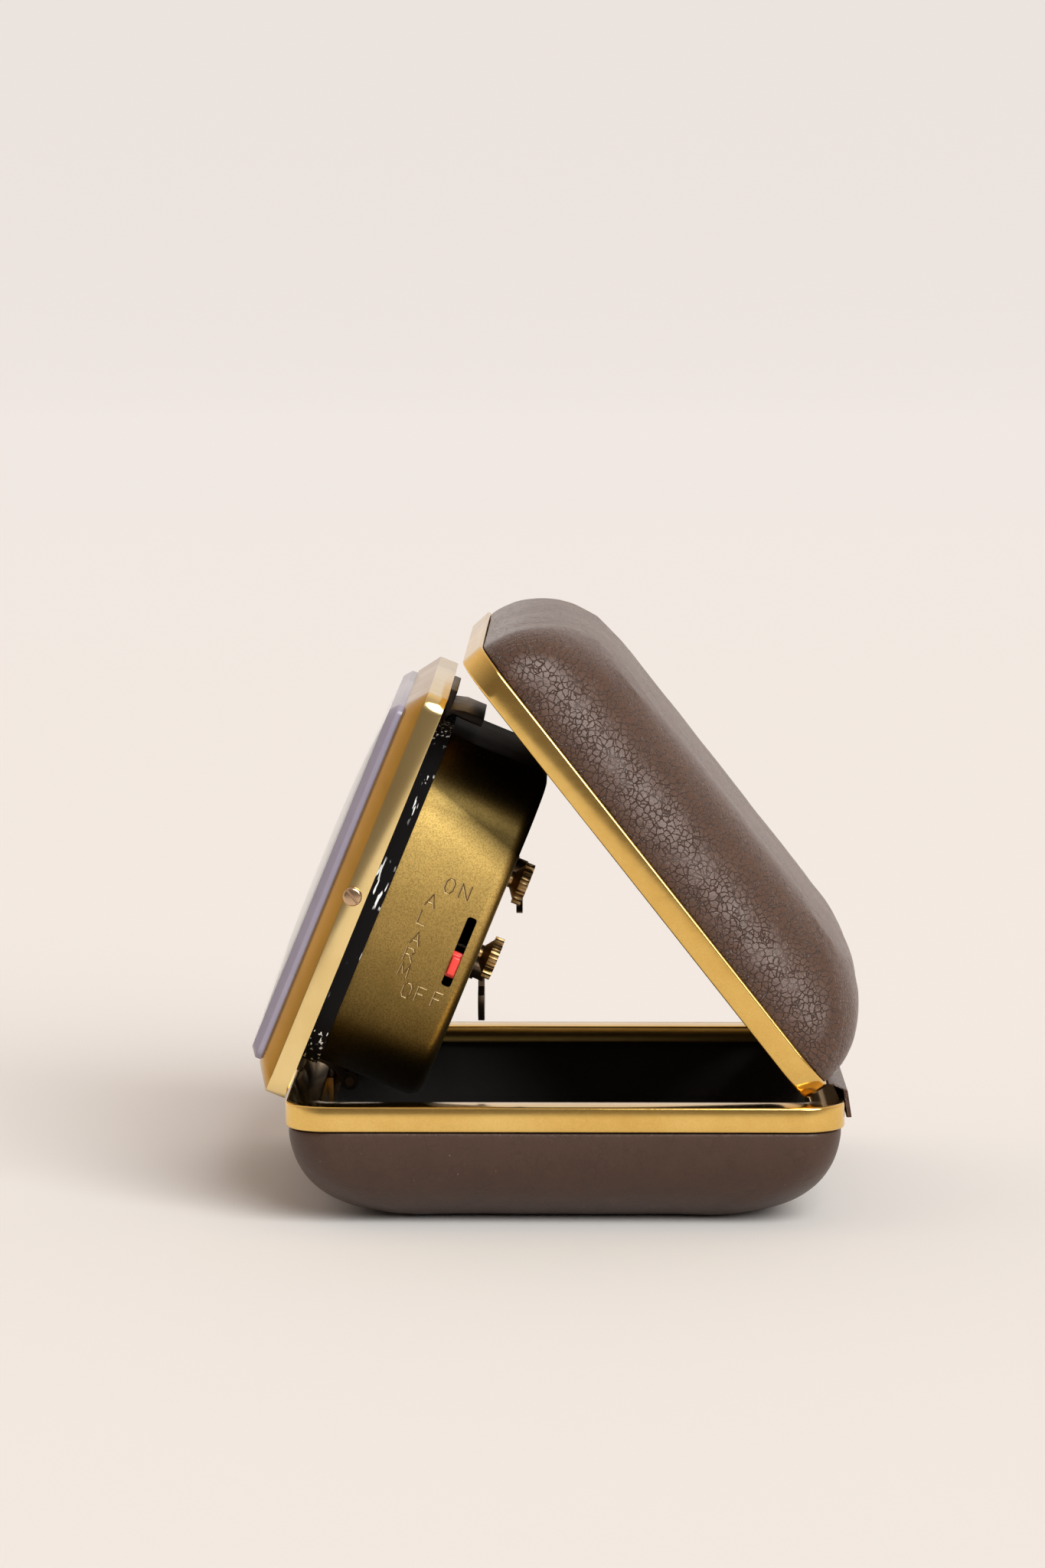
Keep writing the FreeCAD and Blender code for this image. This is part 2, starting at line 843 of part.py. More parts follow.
centre_level = front_plate_back - 2 * wheel_thickness
barrel_front = front_plate_back - barrel_front_gap
barrel_back = barrel_front - barrel_height
great_level = barrel_back - wheel_thickness
great_span = math.hypot(key_across, centre_up - time_key_up)
great_module = module_for(great_span, great_teeth, centre_pinion_teeth)
great_bearing = bearing_between(barrel_place, (0, centre_up))
centre_pinion_phase = mesh_phase(0, great_teeth, centre_pinion_teeth, great_bearing)
third_pinion_phase = mesh_phase(0, centre_teeth, third_pinion_teeth, third_bearing)
fourth_pinion_phase = mesh_phase(0, third_teeth, fourth_pinion_teeth, fourth_bearing)
escape_pinion_phase = mesh_phase(0, fourth_teeth, escape_pinion_teeth, escape_bearing)
third_level = centre_level - 2 * wheel_thickness
fourth_level = third_level - 2 * wheel_thickness
escape_level = fourth_level - 2 * wheel_thickness


def barrel(place, teeth, module, radius):
    x, y = place
    bore = stepped_post(x, y, barrel_arbor_radius + 2 * pipe_fit, great_level - over,
                        barrel_front + over)
    drum = post(x, y, radius, barrel_back, barrel_front)
    rim = toothed_disc(teeth, module, 0, x, y, great_level, barrel_back)
    return drum.fuse(rim).cut(bore).removeSplitter()


def wheel_and_pinion(place, teeth, module, level, pinion_teeth, pinion_module, pinion_phase, pinion_level):
    x, y = place
    half = pinion_length / 2
    parts = [arbor(place),
             toothed_disc(teeth, module, 0, x, y, level - wheel_thickness, level),
             toothed_disc(pinion_teeth, pinion_module, pinion_phase, x, y,
                          pinion_level - half, pinion_level + half)]
    return fuse_all(parts)


def centre_wheel():
    # The arbor runs on through the front plate to carry the cannon pinion
    low = great_level - pinion_length / 4
    pinion = toothed_disc(centre_pinion_teeth, great_module, centre_pinion_phase, 0, centre_up,
                          low, barrel_back + pinion_length / 4)
    disc = toothed_disc(centre_teeth, centre_module, 0, 0, centre_up,
                        centre_level - wheel_thickness, centre_level)
    shaft = stepped_post(0, centre_up, arbor_radius, back_plate_front + end_shake, minute_hand_level)
    return fuse_all([shaft, pinion, disc])


def third_wheel():
    return wheel_and_pinion(third_place, third_teeth, third_module, third_level, third_pinion_teeth,
                            centre_module, third_pinion_phase, centre_level - wheel_thickness / 2)


def fourth_wheel():
    return wheel_and_pinion(fourth_place, fourth_teeth, fourth_module, fourth_level,
                            fourth_pinion_teeth, third_module, fourth_pinion_phase,
                            third_level - wheel_thickness / 2)


def escape_wheel():
    x, y = escape_place
    half = pinion_length / 2
    middle = fourth_level - wheel_thickness / 2
    pinion = toothed_disc(escape_pinion_teeth, fourth_module, escape_pinion_phase, x, y,
                          middle - half, middle + half)
    low = escape_level - wheel_thickness * 2
    disc = saw_disc(escape_teeth, escape_radius, escape_depth, escape_lean_share, x, y,
                    low, low + wheel_thickness)
    return fuse_all([arbor(escape_place), pinion, disc])


def pallet_lever():
    # Two arms that straddle the escape wheel, and a fork towards the balance
    x, y = lever_place
    low = escape_level - wheel_thickness * 2
    to_wheel = lever_bearing + 180
    spread = lever_span
    arm_end = step_from(x, y, lever_back - escape_radius + escape_depth / 4, to_wheel)
    tips = []
    for way in (-1, 1):
        tips.append(step_from(arm_end[0], arm_end[1], spread, to_wheel + way * 90))
    half = lever_width / 2
    parts = [arbor(lever_place)]
    points = [tips[0], step_from(tips[0][0], tips[0][1], lever_width, to_wheel + 180),
              step_from(x, y, half, lever_bearing - 90 + 180), step_from(x, y, half, lever_bearing),
              step_from(x, y, half, lever_bearing - 90),
              step_from(tips[1][0], tips[1][1], lever_width, to_wheel + 180), tips[1],
              step_from(x, y, half, to_wheel)]
    parts.append(flat_prism(points, low, low + wheel_thickness))
    fork_root = [step_from(x, y, half, lever_bearing + way * 90) for way in (-1, 1)]
    fork_tip = [step_from(spot[0], spot[1], lever_span, lever_bearing) for spot in fork_root]
    parts.append(flat_prism([fork_root[0], fork_tip[0], fork_tip[1], fork_root[1]],
                            low, low + wheel_thickness))
    return fuse_all(parts)


def balance_wheel():
    x, y = balance_place
    high = escape_level - wheel_thickness * 3
    low = high - balance_thickness
    rim = post(x, y, balance_radius, low, high)
    rim = rim.cut(stepped_post(x, y, balance_radius - balance_rim, low - over, high + over))
    arm = Part.makeBox(2 * balance_radius - balance_rim, balance_arm, balance_thickness,
                       V(x - balance_radius + balance_rim / 2, y - balance_arm / 2, low))
    staff = arbor(balance_place)
    return fuse_all([rim, arm, staff])


def hairspring():
    # A flat spiral strip, in short straight steps
    x, y = balance_place
    low = escape_level - wheel_thickness * 3 + spring_height
    steps = spring_turns * spring_steps
    outer = []
    inner = []
    for step in range(steps + 1):
        reach = spring_start + spring_pitch * step / spring_steps
        outer.append(step_from(x, y, reach, 360 * step / spring_steps))
        inner.append(step_from(x, y, reach - spring_wire, 360 * step / spring_steps))
    return flat_prism(outer + inner[::-1], low, low + spring_height)


# Alarm work
def alarm_hammer():
    # A rocking arm by the alarm wheel, with a head that taps inside the drum
    x, y = hammer_place
    arm = flat_prism([(x - hammer_width, y), (x + hammer_arm, y + hammer_width / 2),
                      (x + hammer_arm, y - hammer_width / 2), (x, y - hammer_width)],
                     great_level, barrel_back)
    head = stepped_post(x + hammer_arm, y, hammer_head, great_level, barrel_back + wheel_thickness)
    return fuse_all([arbor(hammer_place), arm, head])


# Motion work
minute_wheel_low = front_plate_front + pivot_fit * 4
minute_wheel_high = minute_wheel_low + motion_wheel_thickness
hour_wheel_low = minute_wheel_high + motion_wheel_thickness
hour_wheel_high = hour_wheel_low + motion_wheel_thickness
alarm_wheel_low = hour_wheel_high + motion_wheel_thickness
alarm_wheel_high = alarm_wheel_low + motion_wheel_thickness
minute_bearing = bearing_between((0, centre_up), minute_place)
minute_wheel_phase = mesh_phase(0, cannon_teeth, minute_teeth, minute_bearing)
hour_wheel_phase = mesh_phase(0, minute_pinion_teeth, hour_teeth, minute_bearing + 180)
setting_phase = mesh_phase(minute_wheel_phase, minute_teeth, setting_teeth,
                           bearing_between(minute_place, hand_set_place))
alarm_set_span = math.hypot(alarm_set_place[0], alarm_set_place[1] - centre_up)
alarm_set_module = 2 * alarm_set_span / (alarm_disc_teeth + alarm_setting_teeth)
alarm_set_phase = mesh_phase(0, alarm_disc_teeth, alarm_setting_teeth,
                             bearing_between((0, centre_up), alarm_set_place))


def cannon_pinion():
    body = toothed_disc(cannon_teeth, minute_module, 0, 0, centre_up, minute_wheel_low,
                        minute_wheel_high)
    pipe = stepped_post(0, centre_up, cannon_radius, minute_wheel_low, minute_hand_level)
    bore = post(0, centre_up, arbor_radius + pivot_fit, minute_wheel_low - over,
                minute_hand_level + over)
    return body.fuse(pipe).cut(bore).removeSplitter()


def minute_wheel():
    x, y = minute_place
    stub = stepped_post(x, y, arbor_radius, front_plate_back, hour_wheel_high)
    disc = toothed_disc(minute_teeth, minute_module, minute_wheel_phase, x, y, minute_wheel_low,
                        minute_wheel_high)
    pinion = toothed_disc(minute_pinion_teeth, hour_module, 0, x, y, minute_wheel_high,
                          hour_wheel_high)
    return fuse_all([stub, disc, pinion])


def pipe_wheel(teeth, module, phase, low, high, radius, bore_radius, top):
    body = toothed_disc(teeth, module, phase, 0, centre_up, low, high)
    pipe = stepped_post(0, centre_up, radius, low, top)
    bore = post(0, centre_up, bore_radius, low - over, top + over)
    return body.fuse(pipe).cut(bore).removeSplitter()


def hour_wheel():
    return pipe_wheel(hour_teeth, hour_module, hour_wheel_phase, hour_wheel_low, hour_wheel_high,
                      hour_pipe_radius, cannon_radius + pipe_fit, hour_hand_level)


def alarm_wheel():
    return pipe_wheel(alarm_disc_teeth, alarm_set_module, 0, alarm_wheel_low, alarm_wheel_high,
                      alarm_pipe_radius, hour_pipe_radius + pipe_fit, alarm_hand_level)


def hand(length, level, bore_radius, direction):
    # A leaf-shaped hand with a short tail, pointing along the given bearing
    half = hand_width / 2
    points = [(-hand_tail, half / 3), (-bore_radius * 2, half), (length / 2, half), (length, 0),
              (length / 2, -half), (-bore_radius * 2, -half), (-hand_tail, -half / 3)]
    shape = flat_prism(points, level, level + hand_thickness)
    shape = shape.fuse(stepped_post(0, 0, bore_radius + hand_boss, level, level + hand_thickness))
    shape = shape.cut(stepped_post(0, 0, bore_radius + pivot_fit, level - over, level + over))
    shape = shape.removeSplitter()
    shape.rotate(V(0, 0, 0), Z_AXIS, direction)
    shape.translate(V(0, centre_up, 0))
    return shape


def setting_arbor(place, teeth, module, phase, low, high):
    # The stem ends inside the drum's wall, where the knob's own stem takes over
    x, y = place
    stem = post(x, y, stem_radius, knob_seat, high)
    pinion = toothed_disc(teeth, module, phase, x, y, low, high)
    return stem.fuse(pinion).removeSplitter()


def setting_knob(place):
    x, y = place
    rim_front = -(knob_end - knob_rim)
    root = knob_radius - knob_tooth
    stem = post(x, y, knob_stem_radius, rim_front + knob_cone, knob_seat)
    cone = stacked([circle_ring(x, y, root, knob_teeth, rim_front),
                    circle_ring(x, y, knob_stem_radius, knob_teeth, rim_front + knob_cone)])
    rim = knob_rim_shape(x, y, root)
    return fuse_all([stem, cone, rim])


def knob_rim_shape(x, y, root):
    # Coarse square-cut teeth round a flat button
    points = []
    pitch = 360 / knob_teeth
    for number in range(knob_teeth):
        middle = number * pitch
        for radius, share in ((root, -root_share), (knob_radius, -knob_tip_share),
                              (knob_radius, knob_tip_share), (root, root_share)):
            spot = circle_point(x, y, radius, middle + share * pitch)
            points.append((spot.x, spot.y))
    return flat_prism(points, -knob_end, -(knob_end - knob_rim))


# Folding winding keys
def key_pivot_level():
    return -(key_hub_end - key_leaf_pivot_in)


def winding_key(place):
    # A hub outside the drum, slotted for the leaf, on the arbor that winds the barrel
    x, y = place
    seat = -drum_depth - stem_fit * 2
    inside = -drum_depth + 2 * drum_sheet
    arbor_body = post(x, y, barrel_arbor_radius, seat, inside)
    arbor_body = arbor_body.fuse(stepped_post(x, y, barrel_arbor_radius, inside,
                                              front_plate_back - end_shake))
    hub = post(x, y, key_hub_radius, -key_hub_end, seat)
    gap = key_leaf_waist + 2 * key_pin_fit
    depth = key_leaf_pivot_in + key_leaf_thickness * 3 / 4 + key_pin_fit
    slot = Part.makeBox(gap, 4 * key_hub_radius, depth + over,
                        V(x - gap / 2, y - 2 * key_hub_radius, -key_hub_end - over))
    pin = cross_bar(y, key_pivot_level(), key_pin_radius, x - gap / 2, x + gap / 2)
    return fuse_all([arbor_body, hub.cut(slot), pin])


def key_leaf(place, hang, width, length):
    # A rounded tab with a narrow waist that turns on the key's cross pin
    x, y = place
    half = width / 2
    waist = key_leaf_waist / 2 - key_pin_fit
    thick = key_leaf_thickness / 2
    shoulder = key_hub_radius + thick
    end = length - half
    outline = [V(-waist, thick, -thick), V(-waist, -shoulder, -thick),
               V(-half, -shoulder - waist, -thick), V(-half, -end, -thick)]
    far_side = [V(-point.x, point.y, point.z) for point in reversed(outline)]
    edges = [Part.makeLine(a, b) for a, b in zip(outline, outline[1:])]
    edges.append(Part.Arc(outline[-1], V(0, -end - half, -thick), far_side[0]).toShape())
    edges.extend([Part.makeLine(a, b) for a, b in zip(far_side, far_side[1:])])
    edges.append(Part.makeLine(far_side[-1], outline[0]))
    shape = Part.Face(Part.Wire(edges)).extrude(V(0, 0, key_leaf_thickness))
    shape = shape.cut(cross_bar(0, 0, key_pin_radius + key_pin_fit, -half - over, half + over))
    shape.rotate(V(0, 0, 0), X_AXIS, hang)
    shape.translate(V(x, y, key_pivot_level()))
    return shape


# Head hinge and catch
def hinge_leaf_head():
    level = -hinge_back
    back = -leaf_sheet
    body = [(leaf_foot, 0), (leaf_height, 0), (leaf_height, back), (leaf_arm_high, back),
            (hinge_up + hinge_barrel_radius * knuckle_crown_share,
             level + hinge_barrel_radius * knuckle_back_share), (hinge_up, level),
            (hinge_up + hinge_barrel_radius * knuckle_heel_share, level + hinge_barrel_radius),
            (leaf_arm_low, back - hinge_barrel_radius * 2), (leaf_arm_low, back), (leaf_foot, back)]
    sections = []
    inner = hinge_knuckle + hinge_gap
    for left, right in ((-hinge_half_width, -inner), (inner, hinge_half_width)):
        arm = side_prism(body, left, right)
        sections.append(arm.fuse(cross_bar(hinge_up, level, hinge_barrel_radius, left, right)))
    web = side_prism([(leaf_arm_low + leaf_sheet, 0), (leaf_height, 0), (leaf_height, back),
                      (leaf_arm_low + leaf_sheet, back)], -inner, inner)
    shape = fuse_all(sections + [web])
    hole = cross_bar(hinge_up, level, hinge_pin_radius + hinge_pin_fit,
                     -hinge_half_width - over, hinge_half_width + over)
    return shape.cut(hole)


def hinge_axis():
    lean = math.radians(head_lean)
    y = head_foot_y + hinge_up * math.cos(lean) + hinge_back * math.sin(lean)
    z = head_foot_z + hinge_up * math.sin(lean) - hinge_back * math.cos(lean)
    return y, z


def hinge_pin():
    y, z = hinge_axis()
    return cross_bar(y, z, hinge_pin_radius, -hinge_half_width - hinge_gap, hinge_half_width + hinge_gap)


def hinge_leaf_base():
    # A plate behind the front rail whose middle knuckle holds the pin
    y, z = hinge_axis()
    wall = -case_depth / 2 + rail_width
    top = half_height - base_leaf_top_gap
    plate = Part.makeBox(2 * hinge_half_width, base_leaf_sheet, base_leaf_depth,
                         V(-hinge_half_width, wall, top - base_leaf_depth))
    arm = side_prism([(wall, top), (y, z + base_leaf_arm / 2), (y, z - base_leaf_arm / 2),
                      (wall, top - 2 * base_leaf_arm)], -hinge_knuckle, hinge_knuckle)
    knuckle = cross_bar(y, z, hinge_barrel_radius, -hinge_knuckle, hinge_knuckle)
    hole = cross_bar(y, z, hinge_pin_radius, -hinge_knuckle - over, hinge_knuckle + over)
    return fuse_all([plate, arm, knuckle]).cut(hole)


def catch_clip():
    # A bent strip at the top of the bezel's back, with a tongue under the lid's front rail
    top = catch_top
    root = top - catch_tongue_drop
    knee = root + catch_tongue_rise
    thick = catch_tongue_thickness
    outline = [(top, 0), (top, -leaf_sheet), (root + thick / 2, -leaf_sheet),
               (knee, -catch_tongue_bend), (knee, -catch_tongue_length),
               (knee - thick, -catch_tongue_length), (knee - thick, -catch_tongue_bend),
               (root, -leaf_sheet - thick / 2), (root - thick / 2, -leaf_sheet),
               (catch_foot, -leaf_sheet), (catch_foot, 0)]
    return side_prism(outline, -hinge_half_width, hinge_half_width)


def make_head():
    save("bezel", to_head(bezel()))
    save("bezel_screws", to_head(bezel_screws()))
    save("crystal", to_head(crystal()))
    save("movement_holder", to_head(holder()))
    save("dial", to_head(dial()))
    save("rear_case", to_head(rear_case()))
    save("alarm_slider", to_head(alarm_slider()))
    save("hinge_leaf_head", to_head(hinge_leaf_head()))
    save("catch_clip", to_head(catch_clip()))


def make_movement():
    save("front_plate", to_head(front_plate()))
    save("back_plate", to_head(back_plate()))
    save("plate_pillars", to_head(pillars()))
    save("time_barrel", to_head(barrel(barrel_place, great_teeth, great_module, barrel_radius)))
    save("centre_wheel", to_head(centre_wheel()))
    save("third_wheel", to_head(third_wheel()))
    save("fourth_wheel", to_head(fourth_wheel()))
    save("escape_wheel", to_head(escape_wheel()))
    save("pallet_lever", to_head(pallet_lever()))
    save("balance_wheel", to_head(balance_wheel()))
    save("hairspring", to_head(hairspring()))
    save("alarm_barrel", to_head(barrel(alarm_barrel_place, alarm_great_teeth,
                                        2 * alarm_great_radius / alarm_great_teeth,
                                        alarm_barrel_radius)))
    save("alarm_hammer", to_head(alarm_hammer()))


def make_hands():
    save("cannon_pinion", to_head(cannon_pinion()))
    save("minute_wheel", to_head(minute_wheel()))
    save("hour_wheel", to_head(hour_wheel()))
    save("alarm_wheel", to_head(alarm_wheel()))
    save("minute_hand", to_head(hand(minute_hand_length, minute_hand_level, arbor_radius + pipe_fit,
                                     minute_hand_bearing)))
    save("hour_hand", to_head(hand(hour_hand_length, hour_hand_level, cannon_radius + pipe_fit,
                                   hour_hand_bearing)))
    save("alarm_hand", to_head(hand(alarm_hand_length, alarm_hand_level, hour_pipe_radius + pipe_fit,
                                    alarm_hand_bearing)))


def make_controls():
    save("hand_setting_arbor", to_head(setting_arbor(hand_set_place, setting_teeth, minute_module,
                                                     setting_phase, minute_wheel_low,
                                                     minute_wheel_high)))
    save("alarm_setting_arbor", to_head(setting_arbor(alarm_set_place, alarm_setting_teeth,
                                                      alarm_set_module, alarm_set_phase,
                                                      alarm_wheel_low, alarm_wheel_high)))
    save("hand_setting_knob", to_head(setting_knob(hand_set_place)))
    save("alarm_setting_knob", to_head(setting_knob(alarm_set_place)))
    save("time_winding_key", to_head(winding_key(barrel_place)))
    save("alarm_winding_key", to_head(winding_key(alarm_barrel_place)))
    plumb = 90 - head_lean
    save("time_key_leaf", to_head(key_leaf(barrel_place, plumb, key_leaf_width, key_leaf_length)))
    save("alarm_key_leaf", to_head(key_leaf(alarm_barrel_place, plumb, alarm_leaf_width,
                                            alarm_leaf_length)))


os.makedirs("parts", exist_ok=True)
make_case_half("base", to_base)
make_case_half("lid", to_lid)
save("spine_strap", spine_strap())
make_head()
make_movement()
make_hands()
make_controls()
save("hinge_leaf_base", hinge_leaf_base())
save("hinge_pin", hinge_pin())
print("lid axis", lid_axis(), "head axis", hinge_axis())
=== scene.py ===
# %% [markdown]
# # A folding travel alarm clock on its open stand
# This lesson dresses a CAD model of a small wind-up alarm clock. Its leather
# case opens into a triangle: the base lies on the table, the lid leans back
# behind it, and the clock's head tilts forward between them. The CAD model is
# loaded first and never moved. Everything new is made around it, in metres.

import json
import math

import bpy
from mathutils import Matrix, Vector


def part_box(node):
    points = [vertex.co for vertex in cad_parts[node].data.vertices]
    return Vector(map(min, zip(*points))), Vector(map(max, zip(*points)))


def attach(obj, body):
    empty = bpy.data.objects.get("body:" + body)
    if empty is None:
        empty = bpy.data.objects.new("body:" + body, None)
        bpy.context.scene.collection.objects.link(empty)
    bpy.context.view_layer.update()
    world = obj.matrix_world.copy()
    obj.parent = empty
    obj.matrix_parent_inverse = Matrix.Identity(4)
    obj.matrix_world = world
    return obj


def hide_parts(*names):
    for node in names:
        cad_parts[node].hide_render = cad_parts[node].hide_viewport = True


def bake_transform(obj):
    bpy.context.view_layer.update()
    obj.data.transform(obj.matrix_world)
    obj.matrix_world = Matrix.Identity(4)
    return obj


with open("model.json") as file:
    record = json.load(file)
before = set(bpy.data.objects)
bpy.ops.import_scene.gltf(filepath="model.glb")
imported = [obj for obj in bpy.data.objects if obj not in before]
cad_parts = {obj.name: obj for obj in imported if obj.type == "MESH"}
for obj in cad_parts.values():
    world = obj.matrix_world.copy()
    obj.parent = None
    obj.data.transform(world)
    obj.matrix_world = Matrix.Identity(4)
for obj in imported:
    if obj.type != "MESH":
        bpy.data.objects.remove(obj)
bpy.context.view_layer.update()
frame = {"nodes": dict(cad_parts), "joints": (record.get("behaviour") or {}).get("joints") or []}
MM = 0.001

# %% [markdown]
# Three parts of the clock lie at three angles, so three placements are worked
# out once from the CAD model. A piece is modelled lying square to the axes,
# where sizes are easy to read, and is then put in place by one of these.
# The head's lean is read from the direction in which its switch slides, and
# the lid's lean is the angle at which it rests against the head's top edge.

# %% The three placements
frame_low, frame_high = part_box("base_frame")
case_width = frame_high.x - frame_low.x
case_depth = frame_high.y - frame_low.y
half_height = frame_high.z

slide = next(j for j in frame["joints"] if j["name"] == "switch_slide")
head_lean = math.atan2(slide["axis"][2], slide["axis"][1])
head_overhang = 0.2 * MM
head_foot_drop = 0.12 * MM
head_foot = Vector((0, frame_low.y - head_overhang, half_height - head_foot_drop))
head_up = Vector((0, math.cos(head_lean), math.sin(head_lean)))
HEAD = Matrix.Translation(head_foot) @ Matrix.Rotation(head_lean, 4, "X")

lid_lean = math.radians(51.7993)
lid_foot_inset = 5 * MM
lid_foot_gap = 0.12 * MM
lid_foot = Vector((0, frame_high.y - lid_foot_inset, half_height + lid_foot_gap))
LID = (Matrix.Translation(lid_foot) @ Matrix.Rotation(math.pi - lid_lean, 4, "X")
       @ Matrix.Translation((0, case_depth / 2, -half_height)))
BASE = Matrix.Identity(4)
print("case", round(case_width, 4), round(case_depth, 4),
      "head lean", round(math.degrees(head_lean), 2))

# %% [markdown]
# Every piece starts from a clean selection, because loading the model leaves
# its parts selected. These helpers add a block or a bar, and take an object's
# place and turn into its mesh, so that the object sits at the origin as the
# CAD parts do. A copy always gets a mesh of its own, and several small pieces
# can be joined into one.


# %% Small helpers for modelling
def clear_selection():
    if bpy.context.object and bpy.context.object.mode != "OBJECT":
        bpy.ops.object.mode_set(mode="OBJECT")
    bpy.ops.object.select_all(action="DESELECT")


def work_on(piece):
    clear_selection()
    piece.select_set(True)
    bpy.context.view_layer.objects.active = piece
    return piece


def named(piece, name):
    piece.name = name
    piece.data.name = name
    return piece


def settle(piece):
    # Moves the object's place, turn and size into its mesh
    work_on(piece)
    bpy.ops.object.transform_apply(location=True, rotation=True, scale=True)
    return piece


def copy_of(piece, name):
    clear_selection()
    copy = piece.copy()
    copy.data = piece.data.copy()
    bpy.context.scene.collection.objects.link(copy)
    return work_on(named(copy, name))


def joined(pieces, name):
    clear_selection()
    for piece in pieces:
        piece.select_set(True)
    bpy.context.view_layer.objects.active = pieces[0]
    bpy.ops.object.join()
    return named(bpy.context.object, name)


def add_block(name, size, middle):
    clear_selection()
    bpy.ops.mesh.primitive_cube_add(size=1, location=middle)
    block = named(bpy.context.object, name)
    block.scale = size
    return settle(block)


def add_bar(name, radius, length, middle, along="Z", sides=48):
    clear_selection()
    turn = (0, math.pi / 2, 0) if along == "X" else (0, 0, 0)
    bpy.ops.mesh.primitive_cylinder_add(vertices=sides, radius=radius, depth=length,
                                        location=middle, rotation=turn)
    return settle(named(bpy.context.object, name))


# %% [markdown]
# Faces and edges are selected in edit mode by a test on their place or their
# normal. Blender only stores such a selection in object mode, so each helper
# steps out of edit mode, marks what is wanted, and steps back in.


# %% Picking faces and edges
def pick_faces(piece, wanted):
    work_on(piece)
    bpy.ops.object.mode_set(mode="EDIT")
    bpy.ops.mesh.select_mode(type="FACE")
    bpy.ops.mesh.select_all(action="DESELECT")
    bpy.ops.object.mode_set(mode="OBJECT")
    for face in piece.data.polygons:
        face.select = bool(wanted(face.center, face.normal))
    bpy.ops.object.mode_set(mode="EDIT")


def pick_edges(piece, wanted):
    work_on(piece)
    bpy.ops.object.mode_set(mode="EDIT")
    bpy.ops.mesh.select_mode(type="EDGE")
    bpy.ops.mesh.select_all(action="DESELECT")
    bpy.ops.object.mode_set(mode="OBJECT")
    spots = piece.data.vertices
    for edge in piece.data.edges:
        a, b = (spots[v].co for v in edge.vertices)
        edge.select = bool(wanted(a, b))
    bpy.ops.object.mode_set(mode="EDIT")


def round_corners(piece, radius, steps):
    # Rounds the four upright corners of a block
    pick_edges(piece, lambda a, b: abs(a.x - b.x) + abs(a.y - b.y) < 1e-6)
    bpy.ops.mesh.bevel(offset=radius, segments=steps, affect="EDGES")
    bpy.ops.object.mode_set(mode="OBJECT")


# %% [markdown]
# Sheet brass is modelled as a surface without thickness, and a modifier then
# grows its wall inwards. Sharp edges get a narrow bevel, because it is the
# bevel that catches a line of light. The last helper puts a piece where its
# part of the clock stands and lets it ride on a body of the CAD model.


# %% Walls, edges and places
def apply(piece, modifier):
    work_on(piece)
    bpy.ops.object.modifier_apply(modifier=modifier.name)


def thicken(piece, thickness, even=False):
    wall = piece.modifiers.new("wall", "SOLIDIFY")
    wall.thickness = thickness
    wall.offset = -1
    wall.use_even_offset = even
    apply(piece, wall)


def soften(piece, width, steps, angle):
    # A bevel on every sharp edge, then smooth shading between them
    bevel = piece.modifiers.new("soft edges", "BEVEL")
    bevel.width = width
    bevel.segments = steps
    bevel.limit_method = "ANGLE"
    bevel.angle_limit = math.radians(angle)
    apply(piece, bevel)
    bpy.ops.object.shade_smooth_by_angle(angle=math.radians(angle))


def finish_with(piece, material):
    piece.data.materials.clear()
    piece.data.materials.append(material)
    return piece


def put(piece, placement, body):
    piece.matrix_world = placement @ piece.matrix_world
    settle(piece)
    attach(piece, body)
    print("made", piece.name, len(piece.data.polygons), "faces")


# %% [markdown]
# Materials come first, because each piece gets one when it is made. All are
# node materials on Object coordinates, so the pattern stays on the piece when
# it moves. A helper sets up the shader and one coordinate node, and each
# finish then adds only what makes it special.


